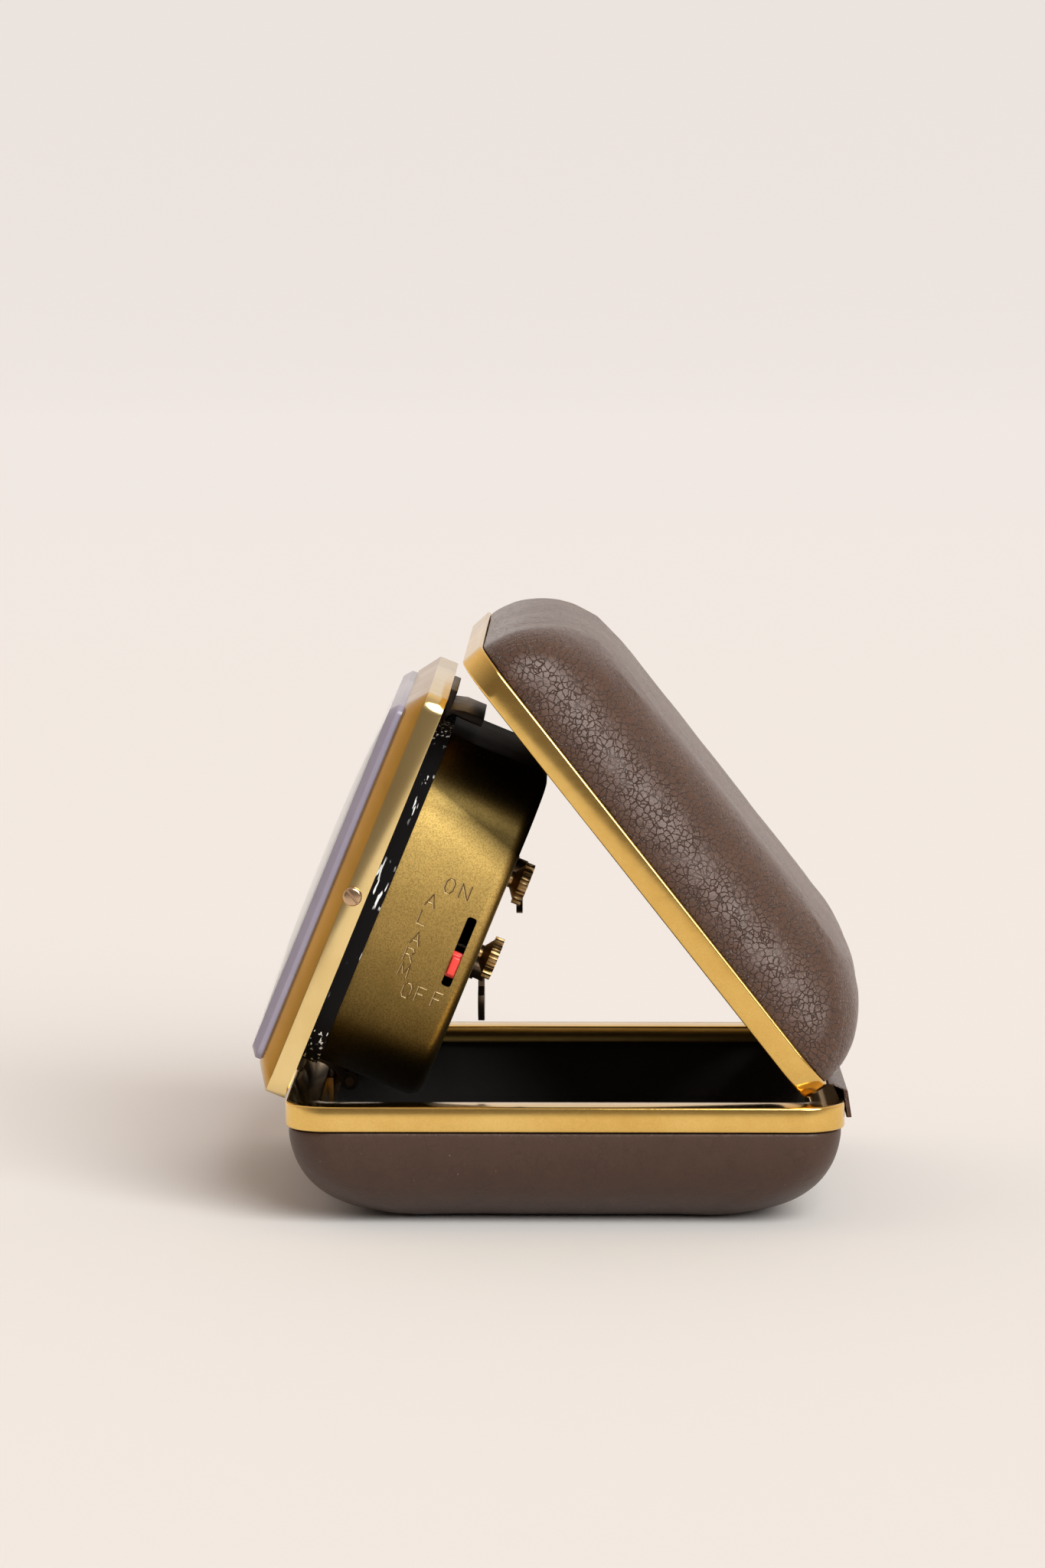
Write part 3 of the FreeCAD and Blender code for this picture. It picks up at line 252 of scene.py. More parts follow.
# %% A helper for finishes
class Finish:
    def __init__(self, name, colour, metallic=0.0, roughness=0.5):
        self.material = bpy.data.materials.new(name)
        self.material.use_nodes = True
        self.tree = self.material.node_tree
        self.shader = self.tree.nodes["Principled BSDF"]
        self.shader.inputs["Base Color"].default_value = (*colour, 1)
        self.shader.inputs["Metallic"].default_value = metallic
        self.shader.inputs["Roughness"].default_value = roughness
        self.place = self.add("ShaderNodeTexCoord").outputs["Object"]

    def add(self, kind, **settings):
        node = self.tree.nodes.new(kind)
        for name, value in settings.items():
            setattr(node, name, value)
        return node

    def join(self, source, target):
        self.tree.links.new(source, target)

    def stretched(self, scale, turn=(0, 0, 0)):
        # A texture mapping turns the pattern first and stretches it afterwards
        mapping = self.add("ShaderNodeMapping", vector_type="TEXTURE")
        mapping.inputs["Scale"].default_value = [1 / part for part in scale]
        mapping.inputs["Rotation"].default_value = turn
        self.join(self.place, mapping.inputs["Vector"])
        return mapping.outputs["Vector"]

    def noise(self, scale, detail=2.0, roughness=0.5, vector=None):
        node = self.add("ShaderNodeTexNoise")
        node.inputs["Scale"].default_value = scale
        node.inputs["Detail"].default_value = detail
        node.inputs["Roughness"].default_value = roughness
        self.join(vector or self.place, node.inputs["Vector"])
        return node.outputs["Fac"]

    def ramp(self, source, low, high, start=0.0, end=1.0):
        node = self.add("ShaderNodeMapRange")
        node.inputs["From Min"].default_value = start
        node.inputs["From Max"].default_value = end
        node.inputs["To Min"].default_value = low
        node.inputs["To Max"].default_value = high
        self.join(source, node.inputs["Value"])
        return node.outputs["Result"]

    def tint(self, share, first, second):
        # Mixes two colours, each a plain one or the output of another node
        node = self.add("ShaderNodeMix", data_type="RGBA")
        for place, colour in (("A", first), ("B", second)):
            if isinstance(colour, (tuple, list)):
                node.inputs[place].default_value = (*colour, 1)
            else:
                self.join(colour, node.inputs[place])
        self.join(share, node.inputs["Factor"])
        return node.outputs["Result"]

    def maths(self, how, first, second):
        node = self.add("ShaderNodeMath", operation=how)
        for place, value in enumerate((first, second)):
            if isinstance(value, (int, float)):
                node.inputs[place].default_value = value
            else:
                self.join(value, node.inputs[place])
        return node.outputs["Value"]

    def bump(self, height, distance, strength=1.0, under=None):
        node = self.add("ShaderNodeBump")
        node.inputs["Distance"].default_value = distance
        node.inputs["Strength"].default_value = strength
        self.join(height, node.inputs["Height"])
        if under is not None:
            self.join(under, node.inputs["Normal"])
        return node.outputs["Normal"]

    def reach(self, direction, start):
        # How far each point lies along a direction, past a starting value
        node = self.add("ShaderNodeVectorMath", operation="DOT_PRODUCT")
        node.inputs[1].default_value = direction
        self.join(self.place, node.inputs[0])
        return self.maths("SUBTRACT", node.outputs["Value"], start)

    def feed(self, source, socket):
        # Lets a pattern drive one of the shader's own inputs
        self.join(source, self.shader.inputs[socket])


# %% [markdown]
# The leather is a coated brown hide with a fine crackle: cells less than a
# millimetre wide with thin sunken creases. A Voronoi texture set to the
# distance from a cell's edge gives those creases. Its coordinates are bent by
# a noise, so that the lines wander as they do in real skin, and a slow noise
# fades them out in places. The base is stretched smoother than the lid, so its
# creases are shallow. The lid is worn to a soft bloom where it faces the light,
# which a little sheen gives. A few pale specks of dust sit on both.


# %% Leather
def crackle(skin, cell, fading):
    # Lines between the cells of a bent Voronoi pattern: 0 in a line, 1 beside it
    bends_per_metre = 1000
    wander = skin.add("ShaderNodeTexNoise")
    wander.inputs["Scale"].default_value = bends_per_metre
    wander.inputs["Detail"].default_value = 3
    skin.join(skin.place, wander.inputs["Vector"])
    bend = skin.add("ShaderNodeVectorMath", operation="MULTIPLY_ADD")
    bend.inputs[1].default_value = (cell, cell, cell)
    skin.join(wander.outputs["Color"], bend.inputs[0])
    skin.join(skin.place, bend.inputs[2])
    cells = skin.add("ShaderNodeTexVoronoi", feature="DISTANCE_TO_EDGE")
    cells.inputs["Scale"].default_value = 1 / cell
    skin.join(bend.outputs["Vector"], cells.inputs["Vector"])
    crease_width = 0.085
    crease = skin.ramp(cells.outputs["Distance"], 0.0, 1.0, 0.0, crease_width)
    # Patches about 3 mm across, where nine tenths of the lines' depth is lost
    patches = skin.ramp(skin.noise(330, 3), 0.0, 1.0, fading - 0.14, fading + 0.14)
    return skin.maths("MAXIMUM", crease, skin.maths("MULTIPLY", patches, 0.9))


def leather(name, colour, warm, cell, crease_depth, crease_shade, fading, gloss):
    skin = Finish(name, colour, roughness=gloss)
    crease = crackle(skin, cell, fading)
    tone = skin.tint(skin.ramp(skin.noise(240, 5, 0.65), 0, 1, 0.35, 0.65), colour, warm)
    hide = skin.tint(crease, [c * crease_shade for c in colour], tone)
    specks = skin.ramp(skin.noise(3200, 1), 0, 1, 0.80, 0.83)
    dust = (0.30, 0.26, 0.23)
    skin.feed(skin.tint(specks, hide, dust), "Base Color")
    skin.feed(skin.ramp(skin.noise(60, 4), gloss, gloss + 0.14), "Roughness")
    pores = skin.bump(skin.noise(4200, 3), 0.04 * MM, 0.8)
    lumps = skin.bump(skin.noise(700, 3), 0.09 * MM, 0.8, under=pores)
    skin.feed(skin.bump(crease, crease_depth, 1.0, under=lumps), "Normal")
    skin.shader.inputs["Specular IOR Level"].default_value = 0.46
    skin.shader.inputs["Specular Tint"].default_value = (1.0, 0.92, 0.88, 1)
    return skin.material


lid_hide = leather("lid leather", (0.064, 0.030, 0.0185), (0.078, 0.036, 0.0215), cell=0.85 * MM,
                   crease_depth=0.08 * MM, crease_shade=0.36, fading=0.64, gloss=0.27)
base_hide = leather("base leather", (0.046, 0.0215, 0.0130), (0.054, 0.025, 0.0145), cell=1.3 * MM,
                    crease_depth=0.02 * MM, crease_shade=0.85, fading=0.40, gloss=0.36)
lid_shader = lid_hide.node_tree.nodes["Principled BSDF"]
lid_shader.inputs["Sheen Weight"].default_value = 0.22
lid_shader.inputs["Sheen Roughness"].default_value = 0.30
lid_shader.inputs["Sheen Tint"].default_value = (1.0, 0.88, 0.84, 1)
print("leather finishes ready")

# %% [markdown]
# The drum needs more than one even brass. Its walls belly out a little, which
# a bump map that falls away from the middle shows well enough. Its colour has
# painted shade towards its foot, where it looks down at the black tray. Its top
# has a painted shadow of the lid, from a slanted line on, where the lid leans
# over it, and there its gloss is painted dark too. Both are measured along a
# direction on the drum itself, so they stay in place when the head moves.

# %% Where the painted shade on the drum falls
drum_waist = head_foot.dot(head_up) + 29 * MM
shade_slant = math.radians(18)
shade_lean = head_lean - shade_slant
shade_up = Vector((0, math.cos(shade_lean), math.sin(shade_lean)))
shade_start = HEAD @ (Vector((28, 44.9, -2.4)) * MM)
shade_edge = shade_start.dot(shade_up)
print("dark top from", [round(part / MM, 1) for part in shade_start], "mm on")


def drum_wear(plate, tone, crown):
    # Painted shade at the foot: from an eighth of its tone 18 mm below the waist to all of it 5 mm
    # above
    height = plate.reach(head_up, drum_waist)
    low = plate.ramp(height, 0.12, 1.0, -18 * MM, 5 * MM)
    # Painted shadow of the lid: across the slanted line the tone falls to a tenth within 4 mm
    high = plate.ramp(plate.reach(shade_up, shade_edge), 1.0, 0.10, -2.0 * MM, 1.8 * MM)
    shaded_tone = plate.add("ShaderNodeVectorMath", operation="SCALE")
    plate.join(tone, shaded_tone.inputs[0])
    plate.join(plate.maths("MULTIPLY", low, high), shaded_tone.inputs["Scale"])
    # Inside the painted shadow the grazing gloss is painted dark as well, by a dark specular tint
    plate.feed(plate.tint(high, (0.06, 0.05, 0.04), (1.0, 1.0, 1.0)), "Specular Tint")
    belly = plate.maths("MULTIPLY", plate.maths("MULTIPLY", height, height), -crown)
    return shaded_tone.outputs["Vector"], plate.bump(belly, 1.0)


# %% [markdown]
# Almost every bright part is brass, in many states: gilt and polished on the
# rails, finely brushed on the bezel, matt and speckled on the drum, brown on
# the hinge, and dark on the knobs. One function makes them all from two tones
# that a slow noise mixes, as wear does. Noise that is stretched in one direction
# gives the brushing lines, and it also lets the roughness vary a little, because
# an even shine looks like plastic.


# %% Metals
def metal(name, colour, shade, roughness, grain=(40, 40, 900), speck=0.0, crown=0.0):
    plate = Finish(name, colour, metallic=1.0, roughness=roughness)
    lines = plate.noise(1.0, 3, vector=plate.stretched(grain))
    wear = plate.noise(90, 5, 0.65)
    tone = plate.tint(plate.ramp(wear, 0, 1, 0.35, 0.75), colour, shade)
    if speck:
        # A fine mottled grain, darker where the lacquer has worn through
        grains = plate.ramp(plate.noise(4600, 3, 0.7), 0, speck, 0.42, 0.64)
        tone = plate.tint(grains, tone, [c * 0.55 for c in shade])
    under = None
    if crown:
        # The drum's painted shade, at its foot and under the lid, is added here
        tone, under = drum_wear(plate, tone, crown)
    plate.feed(tone, "Base Color")
    rough = plate.ramp(plate.maths("ADD", wear, lines), roughness * 0.75, roughness * 1.3, 0.6, 1.4)
    plate.feed(rough, "Roughness")
    plate.feed(plate.bump(lines, 0.004 * MM, 0.6, under), "Normal")
    return plate.material


gilt = metal("gilt brass rail", (0.88, 0.60, 0.19), (0.76, 0.47, 0.12), 0.15, speck=0.16)
across_bezel = (900, 60, 60)
bezel_gold = metal("bezel brass", (0.88, 0.68, 0.32), (0.76, 0.55, 0.22), 0.16, across_bezel)
# The slope's brass is a darker copy of the bezel's: painted shade from the dark case below it
bevel_shaded_gold = metal("bezel slope shaded brass", (0.49, 0.275, 0.055), (0.39, 0.21, 0.042), 0.17,
                   across_bezel)
drum_gold = metal("drum brass", (0.71, 0.47, 0.145), (0.54, 0.35, 0.10), 0.42,
                  grain=(60, 60, 60), speck=0.75, crown=6.4)
# Darker brass as painted shade in the letters' grooves, lighter brass as a painted highlight on
# their lips
letter_painted_shade = metal("letter groove painted shade", (0.22, 0.13, 0.045), (0.16, 0.095, 0.035), 0.5)
letter_painted_highlight = metal("letter lip brass", (0.95, 0.76, 0.40), (0.85, 0.66, 0.32), 0.35)
bronze = metal("dark bronze", (0.20, 0.14, 0.09), (0.12, 0.085, 0.06), 0.34)
dark_steel = metal("dark clip steel", (0.085, 0.070, 0.062), (0.055, 0.045, 0.040), 0.42)
tooth_brass = metal("dark tooth brass", (0.46, 0.30, 0.13), (0.14, 0.09, 0.05), 0.30)
hinge_brass = metal("brown hinge brass", (0.50, 0.27, 0.075), (0.34, 0.17, 0.045), 0.36)
screw_brass = metal("screw brass", (0.62, 0.42, 0.26), (0.48, 0.32, 0.20), 0.20)
works_brass = metal("movement brass", (0.66, 0.50, 0.24), (0.55, 0.40, 0.18), 0.30)
steel = metal("movement steel", (0.55, 0.55, 0.56), (0.42, 0.42, 0.44), 0.28)
print("metal finishes ready")

# %% [markdown]
# The rest are plainer: black flock, red plastic, cream dial paint and black
# ink. Each has a fine uneven grain, because nothing real is quite one colour.
# Flock also gets a little sheen, as its short fibres catch light from aside.


# %% Plain finishes
def plain(name, colour, roughness, grain=400, depth=0.01 * MM):
    coat = Finish(name, colour, roughness=roughness)
    uneven = coat.noise(grain, 3)
    shade = [c * 0.8 for c in colour]
    coat.feed(coat.tint(uneven, shade, colour), "Base Color")
    coat.feed(coat.bump(uneven, depth, 0.5), "Normal")
    return coat.material


flock = plain("black flock", (0.046, 0.042, 0.039), 0.9, grain=3000, depth=0.1 * MM)
flock_shader = flock.node_tree.nodes["Principled BSDF"]
flock_shader.inputs["Sheen Weight"].default_value = 0.15
switch_red = plain("red plastic", (0.90, 0.06, 0.045), 0.30)
dial_cream = plain("dial cream", (0.86, 0.82, 0.73), 0.55)
ink = plain("black ink", (0.02, 0.02, 0.02), 0.5)
print("plain finishes ready")

# %% [markdown]
# The holder between bezel and drum is black card, with pale painted glints that
# run along the head. They are the peaks of a noise stretched that way, and a
# slower noise keeps them to a few patches. It has next to no gloss.

# %% Holder
holder_tone = (0.007, 0.006, 0.006)
holder = Finish("black holder", holder_tone, roughness=0.7)
along = holder.stretched((1800, 330, 2000), (head_lean, 0, 0))
# Painted glints: pale streaks along the head, kept to a few patches
painted_glints = holder.ramp(holder.noise(1.0, 2, vector=along), 0, 1, 0.60, 0.63)
patches = holder.ramp(holder.noise(190, 1), 0, 1, 0.46, 0.54)
glints_shown = holder.maths("MULTIPLY", painted_glints, patches)
holder.feed(holder.tint(glints_shown, holder_tone, (0.85, 0.83, 0.80)), "Base Color")
holder.shader.inputs["Specular IOR Level"].default_value = 0.03
holder_black = holder.material
print("holder finish ready")

# %% [markdown]
# The crystal's front is a real refracting glass, with the index of acrylic.
# Its thick sawn edge is hazy and looks lavender grey, which clear glass would
# not show, so the edge has a smooth solid finish of its own.

# %% Crystal finishes
acrylic_index = 1.49
clear = Finish("clear crystal", (0.96, 0.95, 0.98), roughness=0.03)
clear.shader.inputs["Transmission Weight"].default_value = 1.0
clear.shader.inputs["IOR"].default_value = acrylic_index
clear.feed(clear.ramp(clear.noise(500, 2), 0.02, 0.05), "Roughness")
crystal_clear = clear.material
rim = Finish("crystal rim", (0.27, 0.24, 0.30), roughness=0.16)
rim.feed(rim.tint(rim.noise(300, 2), (0.25, 0.22, 0.28), (0.31, 0.27, 0.33)), "Base Color")
crystal_rim = rim.material
print("crystal finishes ready")

# %% [markdown]
# The padded halves of the case have the same shape, so one skin is made and
# copied. The CAD cover is a coarse closed shell. Its copy is merged, its inner
# wall is deleted, and its long flat faces are sliced into strips, so that
# subdivision rounds all of it evenly. This keeps the skin on the CAD form.


# %% The padded skin
def merged_copy(node, name):
    copy = copy_of(frame["nodes"][node], name)
    for key in list(copy.keys()):
        del copy[key]
    copy.parent = None
    bpy.ops.object.mode_set(mode="EDIT")
    bpy.ops.mesh.select_all(action="SELECT")
    bpy.ops.mesh.remove_doubles(threshold=0.002 * MM)
    bpy.ops.mesh.dissolve_limited(angle_limit=math.radians(0.5))
    bpy.ops.object.mode_set(mode="OBJECT")
    return copy


def slice_strips(piece, reach_x, reach_y, pitch):
    work_on(piece)
    for axis, reach in ((Vector((1, 0, 0)), reach_x), (Vector((0, 1, 0)), reach_y)):
        count = int(reach / pitch)
        for step in range(-count, count + 1):
            bpy.ops.object.mode_set(mode="EDIT")
            bpy.ops.mesh.select_all(action="SELECT")
            bpy.ops.mesh.bisect(plane_co=axis * (step * reach / count), plane_no=axis)
            bpy.ops.object.mode_set(mode="OBJECT")


skin = merged_copy("base_leather", "skin_form")
leather_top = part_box("base_leather")[1].z
inside = Vector((0, 0, leather_top * 0.75))
pick_faces(skin, lambda spot, normal: normal.dot(spot - inside) < 0 or normal.z > 0.9)
bpy.ops.mesh.delete(type="FACE")
bpy.ops.object.mode_set(mode="OBJECT")
flat_half = Vector((24, 23)) * MM
slice_strips(skin, flat_half.x, flat_half.y, 3.2 * MM)
print("skin strips", len(skin.data.polygons))

# %% [markdown]
# Under the frame the real cover turns inwards to be glued, which leaves a thin
# dark gap. The top edge is therefore drawn in a little. Then the skin is
# subdivided and pushed about by two soft cloud textures, a different place in
# the clouds for each half, as hand-padded leather is never even. The card under
# it is firm, so this looks right without a cloth simulation.


# %% Base and lid leather
def top_edge(a, b):
    return min(a.z, b.z) > leather_top - 0.01 * MM


pick_edges(skin, top_edge)
bpy.ops.mesh.extrude_edges_move(TRANSFORM_OT_translate={"value": (0, 0, 0)})
bpy.ops.transform.resize(value=(0.986, 0.986, 1))
bpy.ops.object.mode_set(mode="OBJECT")


def sink_edges(half, crown):
    # The stuffing is thicker in the middle, so the outer edges sink a little
    pick_faces(half, lambda spot, normal: abs(spot.x) > 26 * MM and spot.z < 4 * MM)
    bpy.ops.transform.translate(value=(0, 0, crown), use_proportional_edit=True,
                                proportional_edit_falloff="SMOOTH", proportional_size=17 * MM)
    bpy.ops.object.mode_set(mode="OBJECT")


def puff(half, size, push, clouds_at):
    # The clouds are read at another place for each half, by moving it there
    cloud = bpy.data.textures.new(half.name + " clouds", "CLOUDS")
    cloud.noise_scale = size
    cloud.noise_depth = 1
    swell = half.modifiers.new("swell", "DISPLACE")
    swell.texture = cloud
    swell.strength = push
    swell.mid_level = 0.62
    swell.texture_coords = "GLOBAL"
    half.location = clouds_at
    bpy.context.view_layer.update()
    apply(half, swell)
    half.location = (0, 0, 0)


def padded_half(name, node, body, placement, material, clouds_at, puff_depth, crown=0):
    half = copy_of(skin, name)
    rounding = half.modifiers.new("rounding", "SUBSURF")
    rounding.levels = rounding.render_levels = 3
    apply(half, rounding)
    if crown:
        sink_edges(half, crown)
    puff(half, 9 * MM, puff_depth, clouds_at)
    puff(half, 3 * MM, puff_depth * 0.3, clouds_at)
    bpy.ops.object.shade_smooth()
    finish_with(half, material)
    put(half, placement, body)
    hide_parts(node)


padded_half("base_padding", "base_leather", "base", BASE, base_hide,
            clouds_at=(0.2, 0.1, 0), puff_depth=0.10 * MM)
padded_half("lid_padding", "lid_leather", "lid", LID, lid_hide,
            clouds_at=(0.7, 0.4, 0), puff_depth=0.22 * MM, crown=0.45 * MM)
bpy.data.objects.remove(skin)

# %% [markdown]
# Each half has a rail of rolled brass strip. It is an upside-down channel: an
# outer skirt over the leather, a flat top, and a lower inner skirt. A block
# gets round corners, its top is inset to leave the rail, the inner edge is
# drawn down, and a Solidify modifier gives the sheet its thickness. The outer
# top edge is drawn in a little, so the skirt slopes and mirrors the paper.

# %% Brass rails
rail_width = 4.7 * MM
rail_skirt = 3.4 * MM
rail_inner_skirt = 2.5 * MM
rail_sheet = 0.7 * MM
rail_corner = 6 * MM


def on_top(a, b):
    return min(a.z, b.z) > half_height - 0.01 * MM


def within_rim(spot, inset):
    # True where a point lies further in from the case's sides than an inset
    return abs(spot.x) < case_width / 2 - inset and abs(spot.y) < case_depth / 2 - inset


def brass_rail(name, node, body, placement, rail_flare):
    rail = add_block(name, (case_width, case_depth, rail_skirt),
                     (0, 0, half_height - rail_skirt / 2))
    round_corners(rail, rail_corner, 10)
    pick_faces(rail, lambda spot, normal: normal.z > 0.9)
    bpy.ops.mesh.inset(thickness=rail_width, depth=0, use_even_offset=True)
    bpy.ops.mesh.delete(type="FACE")
    pick_faces(rail, lambda spot, normal: normal.z < -0.9)
    bpy.ops.mesh.delete(type="FACE")
    outer = rail_corner * 0.4
    pick_edges(rail, lambda a, b: on_top(a, b) and not within_rim(a, outer)
               and not within_rim(b, outer))
    flare = 1 - 2 * rail_flare / case_width
    bpy.ops.transform.resize(value=(flare, flare, 1))
    bpy.ops.object.mode_set(mode="OBJECT")
    inner = rail_width - 0.1 * MM
    pick_edges(rail, lambda a, b: on_top(a, b) and within_rim(a, inner) and within_rim(b, inner))
    bpy.ops.mesh.extrude_edges_move(TRANSFORM_OT_translate={"value": (0, 0, -rail_inner_skirt)})
    bpy.ops.object.mode_set(mode="OBJECT")
    thicken(rail, rail_sheet, even=True)
    soften(rail, 0.55 * MM, 4, 50)
    finish_with(rail, gilt)
    put(rail, placement, body)
    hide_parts(node)


brass_rail("base_rail", "base_frame", "base", BASE, rail_flare=0.03 * MM)
brass_rail("lid_rail", "lid_frame", "lid", LID, rail_flare=0.24 * MM)

# %% [markdown]
# The bezel is a shallow brass pan with a flat sloping shoulder, open at the
# front for the crystal. It is drawn up from a block: the front face is extruded
# once and made smaller, which leaves the slope all round. The front and back
# are then opened and the walls thickened inwards. The edges stay crisp, as the
# photograph shows a sharp line between the side and the slope. The slope faces
# down towards the dark case and looks deeper, so its faces get a darker copy of
# the bezel's brass, with that shade painted into its colour.

# %% Bezel
bezel_low, bezel_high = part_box("bezel")
head_width = bezel_high.x - bezel_low.x
head_height = 58.2 * MM
head_middle = head_height / 2
bezel_side = 2.77 * MM
bevel_rise = 2.23 * MM
bevel_inset = 2.95 * MM

bezel = add_block("bezel_shell", (head_width, head_height, bezel_side),
                  (0, head_middle, bezel_side / 2))
round_corners(bezel, 2.5 * MM, 6)
pick_faces(bezel, lambda spot, normal: normal.z > 0.9)
bpy.ops.mesh.extrude_region_move(TRANSFORM_OT_translate={"value": (0, 0, bevel_rise)})
shrink_x = 1 - 2 * bevel_inset / head_width
shrink_y = 1 - 2 * bevel_inset / head_height
bpy.ops.transform.resize(value=(shrink_x, shrink_y, 1))
bpy.ops.mesh.delete(type="FACE")
pick_faces(bezel, lambda spot, normal: normal.z < -0.9)
bpy.ops.mesh.delete(type="FACE")
bpy.ops.object.mode_set(mode="OBJECT")
thicken(bezel, 0.8 * MM)
soften(bezel, 0.08 * MM, 2, 40)
finish_with(bezel, bezel_gold)
bezel.data.materials.append(bevel_shaded_gold)
# The slope's faces take the darker brass with painted shade
for face in bezel.data.polygons:
    if face.center.z > bezel_side and 0.3 < face.normal.z < 0.97:
        face.material_index = 1
put(bezel, HEAD, "head")
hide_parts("bezel")

# %% [markdown]
# The crystal is a thick clear pane with a polished chamfer all round and a
# gentle dome. It is built from a block in the same drawn-up way: the front is
# extruded in small steps, and each is made narrower and rises a little less,
# which gives the dome. Its back is hollow, as the hands need room, so the back
# face is inset and pushed in.

# %% Crystal
crystal_inset = 3.25 * MM
crystal_front = 6.7 * MM
crystal_back = 3.0 * MM
crystal_bevel = 1.1 * MM
dome_rise = 1.0 * MM
crystal_size = Vector((head_width - 2 * crystal_inset, head_height - 2 * crystal_inset))
shoulder = 5.75 * MM

pane = add_block("crystal_pane", (crystal_size.x, crystal_size.y, shoulder - crystal_back),
                 (0, head_middle, (shoulder + crystal_back) / 2))
round_corners(pane, 1.6 * MM, 5)
pick_faces(pane, lambda spot, normal: normal.z > 0.9)
bpy.ops.mesh.extrude_region_move(TRANSFORM_OT_translate={"value": (0, 0, crystal_front - shoulder)})
shrink_x = 1 - 2 * crystal_bevel / crystal_size.x
shrink_y = 1 - 2 * crystal_bevel / crystal_size.y
bpy.ops.transform.resize(value=(shrink_x, shrink_y, 1))
dome_steps = 6
dome_now = 0
for step in range(1, dome_steps):
    left = 1 - step / dome_steps
    lift = dome_rise * (1 - left ** 2)
    narrower = left / (left + 1 / dome_steps)
    bpy.ops.mesh.extrude_region_move(TRANSFORM_OT_translate={"value": (0, 0, lift - dome_now)})
    bpy.ops.transform.resize(value=(narrower, narrower, 1))
    dome_now = lift
pick_faces(pane, lambda spot, normal: normal.z < -0.9)
bpy.ops.mesh.inset(thickness=1.1 * MM, depth=0)
bpy.ops.mesh.extrude_region_move(TRANSFORM_OT_translate={"value": (0, 0, 2.1 * MM)})
bpy.ops.object.mode_set(mode="OBJECT")
soften(pane, 0.12 * MM, 3, 25)


def on_sawn_edge(face):
    # The sides and the chamfer, but neither the dome nor the hollow behind it
    x, y, z = face.center
    outwards = max(abs(x) - crystal_size.x / 2, abs(y - head_middle) - crystal_size.y / 2)
    return (crystal_back < z < crystal_front + 0.02 * MM and abs(face.normal.z) < 0.93
            and outwards > -1.3 * MM - crystal_bevel)


finish_with(pane, crystal_clear)
pane.data.materials.append(crystal_rim)
for face in pane.data.polygons:
    if on_sawn_edge(face):
        face.material_index = 1
put(pane, HEAD, "head")
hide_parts("crystal")

# %% [markdown]
# The drum behind the bezel is drawn brass with wide round corners and a rolled
# back edge. A block is rounded twice, first at its upright corners and then
# round its back, and its front is opened before the wall is thickened.

# %% Drum
drum_size = Vector((56, 48)) * MM
drum_middle = head_middle - 0.1 * MM
drum_front = -2.3 * MM
drum_back = -16.9 * MM
drum = add_block("drum_shell", (drum_size.x, drum_size.y, drum_front - drum_back),
                 (0, drum_middle, (drum_front + drum_back) / 2))
round_corners(drum, 9 * MM, 14)
pick_edges(drum, lambda a, b: max(a.z, b.z) < drum_back + 0.01 * MM)
bpy.ops.mesh.bevel(offset=1.8 * MM, segments=6, affect="EDGES")
pick_faces(drum, lambda spot, normal: normal.z > 0.9)
bpy.ops.mesh.delete(type="FACE")
bpy.ops.object.mode_set(mode="OBJECT")
thicken(drum, 0.6 * MM)
print("drum shell", len(drum.data.polygons), "faces before it is cut")

# %% [markdown]
# The slot for the alarm switch is cut by a Boolean with a round-ended block,
# which is how a press tool leaves it. Four round holes in the back let the two
# keys and the two setting knobs through, so nothing there merely touches.

# %% Slot and holes
slot_middle = Vector((28, 26.9, -14.3)) * MM
slot_length = 10 * MM
slot_width = 1.35 * MM
back_holes = [(-9, 21, 1.16), (-18.5, 35, 1.16), (13, 25.9, 1.26), (13, 37, 1.26)]


def cut_with(piece, cutter):
    cut = piece.modifiers.new("cut", "BOOLEAN")
    cut.operation = "DIFFERENCE"
    cut.solver = "EXACT"
    cut.object = cutter
    apply(piece, cut)
    bpy.data.objects.remove(cutter)


slot = add_block("slot_tool", (4 * MM, slot_length, slot_width), slot_middle)
pick_edges(slot, lambda a, b: abs(a.y - b.y) + abs(a.z - b.z) < 1e-6)
bpy.ops.mesh.bevel(offset=slot_width * 0.3, segments=5, affect="EDGES")
bpy.ops.object.mode_set(mode="OBJECT")
cut_with(drum, slot)
for across, up, radius in back_holes:
    hole = add_bar("hole_tool", radius * MM, 4 * MM, (across * MM, up * MM, drum_back))
    cut_with(drum, hole)
work_on(drum)
bpy.ops.object.shade_smooth_by_angle(angle=math.radians(25))
finish_with(drum, drum_gold)
put(drum, HEAD, "head")
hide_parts("rear_case")

# %% [markdown]
# ON, OFF and ALARM are stamped in the drum's side, round the switch. They could
# be text, but the real ones are strokes of one width, so each letter is a short
# list of strokes in a square one unit high, and each stroke becomes a thin bar.
# A second table says how far up the head and how far back each letter stands.

